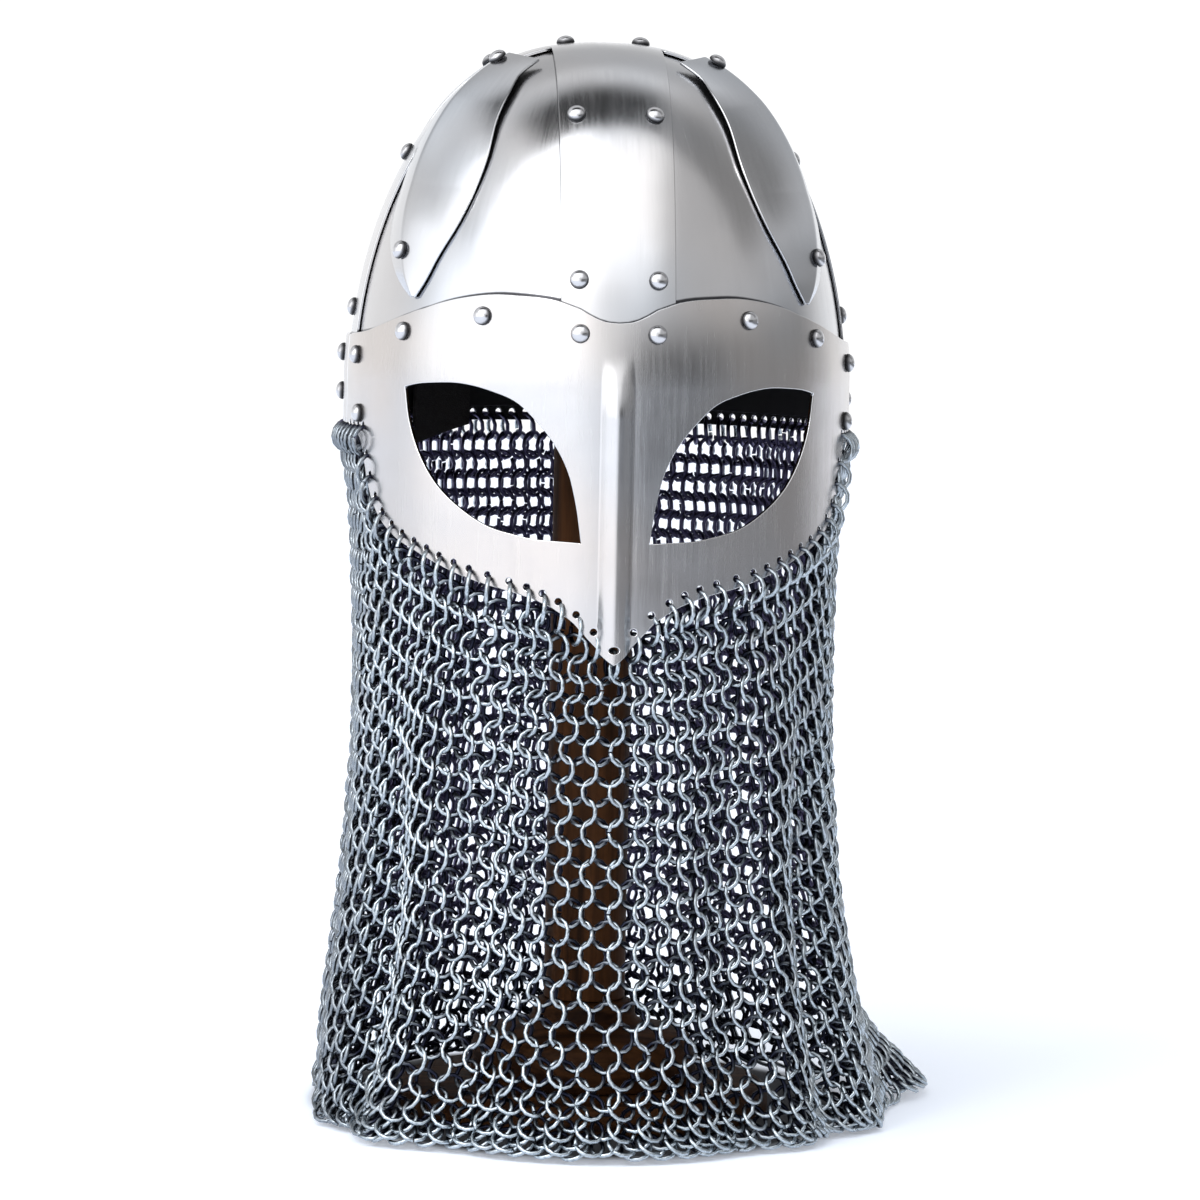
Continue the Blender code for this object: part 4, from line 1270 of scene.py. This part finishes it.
def leather(m):
    """Black leather: creased grain, dull in the creases."""
    where = {"Vector": m.place(900.0), "Scale": 1.0}
    grain = m.node("ShaderNodeTexVoronoi", {"feature": "DISTANCE_TO_EDGE"}, where)
    broad = m.noise(120.0, 3.0, 0.6)
    ridge = grain.rise(0.0, 0.25)
    return {"Base Color": m.mix(broad, (0.010, 0.009, 0.009), (0.040, 0.034, 0.030)),
            "Roughness": 0.75 - 0.2 * ridge, "Normal": m.bump(6e-5 * ridge + 1e-4 * broad)}


black_leather = finish("black_leather", leather)
tab_angle, tab_z = np.meshgrid(np.linspace(*TAB_ANGLES, TAB_STEPS), np.linspace(*TAB_HEIGHTS, TAB_STEPS))
slant = (TAB_ANGLES[1] - tab_angle) / (TAB_ANGLES[1] - TAB_ANGLES[0])
tab_z = tab_z + TAB_SLANT * slant * (TAB_HEIGHTS[1] - tab_z) / (TAB_HEIGHTS[1] - TAB_HEIGHTS[0])
tab_sides = on_wall(tab_angle, tab_z, -SEAM / 2 - PLATE - 2 * GAP - TAB_THICKNESS)
tab_inner, tab_out = (side.reshape(-1, 3) for side in tab_sides)
tab_flat = np.stack((np.radians(tab_angle) * 0.1, tab_z), -1).reshape(-1, 2)
mesh = closed_sheet("tab", tab_inner, tab_out, tab_flat, [grid_faces(TAB_STEPS, TAB_STEPS)], TAB_THICKNESS)
add_piece(mesh, (black_leather, black_leather), ["leather_tab"])

# %% [markdown]
# ## Wooden stand
#
# The stand is turned: a round base, a stepped foot, and a straight post up to a block under the crown.
# A turned piece is a profile spun round its axis, with its corners rounded as sandpaper leaves them.


# %% Wood finish
def wood(stretch, light_tone, dark_tone):
    """Stained wood whose grain runs along the axis with the small stretch."""
    def make(m):
        grain = m.noise(stretch, 5.0, 0.62, 0.6)
        fine = m.noise(tuple(6.0 * s for s in stretch), 3.0, 0.6)
        broad = m.noise(18.0, 2.0, 0.5)
        tone = m.mix(grain.rise(0.32, 0.68), dark_tone, light_tone)
        tone = m.mix(fine.rise(0.52, 0.72) * 0.45, tone, tuple(0.45 * c for c in dark_tone))
        tone = m.mix(broad.rise(0.4, 0.8) * 0.35, tone, light_tone)
        height = 8e-5 * fine + 1e-4 * grain
        return {"Base Color": tone, "Roughness": 0.42 + 0.25 * fine, "Normal": m.bump(height)}
    return make


# partly painted shade: both woods' tones are set darker than the wood's own stain, for the curtain's shade
# over the stand, the base's darkest
post_wood = finish("post_wood", wood((150.0, 150.0, 7.0), (0.110, 0.041, 0.012), (0.020, 0.007, 0.002)),
                   Specular_IOR_Level=0.14)
base_wood = finish("base_wood", wood((9.0, 130.0, 130.0), (0.090, 0.036, 0.012), (0.016, 0.006, 0.003)),
                   Specular_IOR_Level=0.08)


# %% Stand
TURNED_SIDES = 96


def add_turned(name, corners, radius, material):
    """Puts in a turned piece: a profile from its top centre to its bottom centre, rounded and spun."""
    across, height = np.array(rounded(corners, radius)).T
    points, quads, fans = spun(across, height, TURNED_SIDES, height[[0, -1]])
    mesh = make_mesh(name, points, [quads, fans])
    mesh.set_sharp_from_angle(angle=np.radians(35.0))
    add_piece(mesh, (material,), [f"stand_{name}"])


def rounded(corners, radius):
    """The profile with each corner replaced by three points on a small curve."""
    corners = np.array(corners, float)
    made = [corners[0]]
    for before, here, after in zip(corners, corners[1:], corners[2:]):
        back, on = before - here, after - here
        back, on = (v / np.linalg.norm(v) * min(radius, 0.45 * np.linalg.norm(v)) for v in (back, on))
        made += [here + back, here + 0.3 * (back + on), here + on]
    return [*made, corners[-1]]


BASE_RADIUS = 0.0760
BASE_THICKNESS = 0.0120
FOOT_RADIUS = 0.0460
FOOT_HEIGHT = 0.0330
COLLAR_RADIUS = 0.0210
POST_RADIUS = 0.0166
HEAD_DEPTH = 0.0200
WOOD_GAP = 0.0003
CENTRE = 0.0020
CORNER = 0.0008
MOULDING_CORNER = 0.0011
SMALL_CORNER = 0.003

base_profile = ((CENTRE, BASE_THICKNESS), (BASE_RADIUS - SMALL_CORNER, BASE_THICKNESS),
                (BASE_RADIUS, BASE_THICKNESS - SMALL_CORNER), (BASE_RADIUS, 0.001),
                (BASE_RADIUS - 0.001, 0.0), (CENTRE, 0.0))
add_turned("base", base_profile, CORNER, base_wood)
foot = BASE_THICKNESS + WOOD_GAP
# share of the way from the collar's radius to the foot's, share of the foot's height
MOULDING = ((-0.12, 1.00), (0.00, 0.95), (0.00, 0.80), (0.10, 0.72), (0.45, 0.66),
            (0.82, 0.60), (0.95, 0.52), (1.00, 0.40), (1.00, 0.00))
wider = FOOT_RADIUS - COLLAR_RADIUS
moulding = [(COLLAR_RADIUS + wider * out, foot + FOOT_HEIGHT * up) for out, up in MOULDING]
add_turned("foot", [(CENTRE, foot + FOOT_HEIGHT), *moulding, (CENTRE, foot)], MOULDING_CORNER,
           base_wood)
post_low = foot + FOOT_HEIGHT + WOOD_GAP
post_high = BROW_Z + SKULL_HEIGHT - SEAM / 2 - PLATE - GAP - HEAD_DEPTH - WOOD_GAP
post_profile = ((CENTRE, post_high), (POST_RADIUS, post_high), (POST_RADIUS, post_low), (CENTRE, post_low))
add_turned("post", post_profile, CORNER, post_wood)
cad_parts["stand_head"].data.materials.clear()
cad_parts["stand_head"].data.materials.append(post_wood)

# %% [markdown]
# ## Floor
#
# A plain pale floor, large enough to reach past the picture in every view. It has a little light of its own,
# so that it and the sky meet without a line. Shade is painted on it under the curtain, and far off on the
# right in front, where the room is dark and the visor shows it.

# %% Floor
FLOOR_HALF = 6.0
corner = FLOOR_HALF * np.array(((-1, -1, 0), (1, -1, 0), (1, 1, 0), (-1, 1, 0)), float)
floor = bpy.data.objects.new("floor", make_mesh("floor", corner, [np.array(((0, 1, 2, 3),))]))


def pale(m):
    """White paint with a faint cloud, with painted shade inside the curtain's oval and in the far right
    front.
    """
    x, y, _ = m.parts(m.place(1.0))
    oval = (x * (1.0 / SKULL_HALF_WIDTH)).math("POWER", 2.0)
    oval = oval + ((y - 0.012) * (1.0 / SKULL_HALF_LENGTH)).math("POWER", 2.0)
    # painted shade: the floor under the curtain is painted near-black
    inside = 1.0 - oval.rise(1.10, 1.36)
    # painted shade: the far right front of the floor is painted dark, for the dark side of the room
    far = x.rise(0.0, 0.6) * (y * -1.0).rise(0.8, 2.0) + x.rise(0.5, 1.4) * (1.0 - y.rise(1.0, 2.6))
    tone = m.mix(m.noise(3.0), (0.83, 0.88, 0.97), (0.85, 0.90, 0.99))
    tone = m.mix(0.80 * far.rise(0.0, 1.0), tone, (0.02, 0.02, 0.02))
    tone = m.mix(0.97 * inside, tone, (0.01, 0.01, 0.012))
    return {"Base Color": tone, "Emission Color": tone}


floor_finish = finish("floor_finish", pale, Roughness=0.9, Emission_Strength=0.32)
floor.data.materials.append(floor_finish)
scene.collection.objects.link(floor)
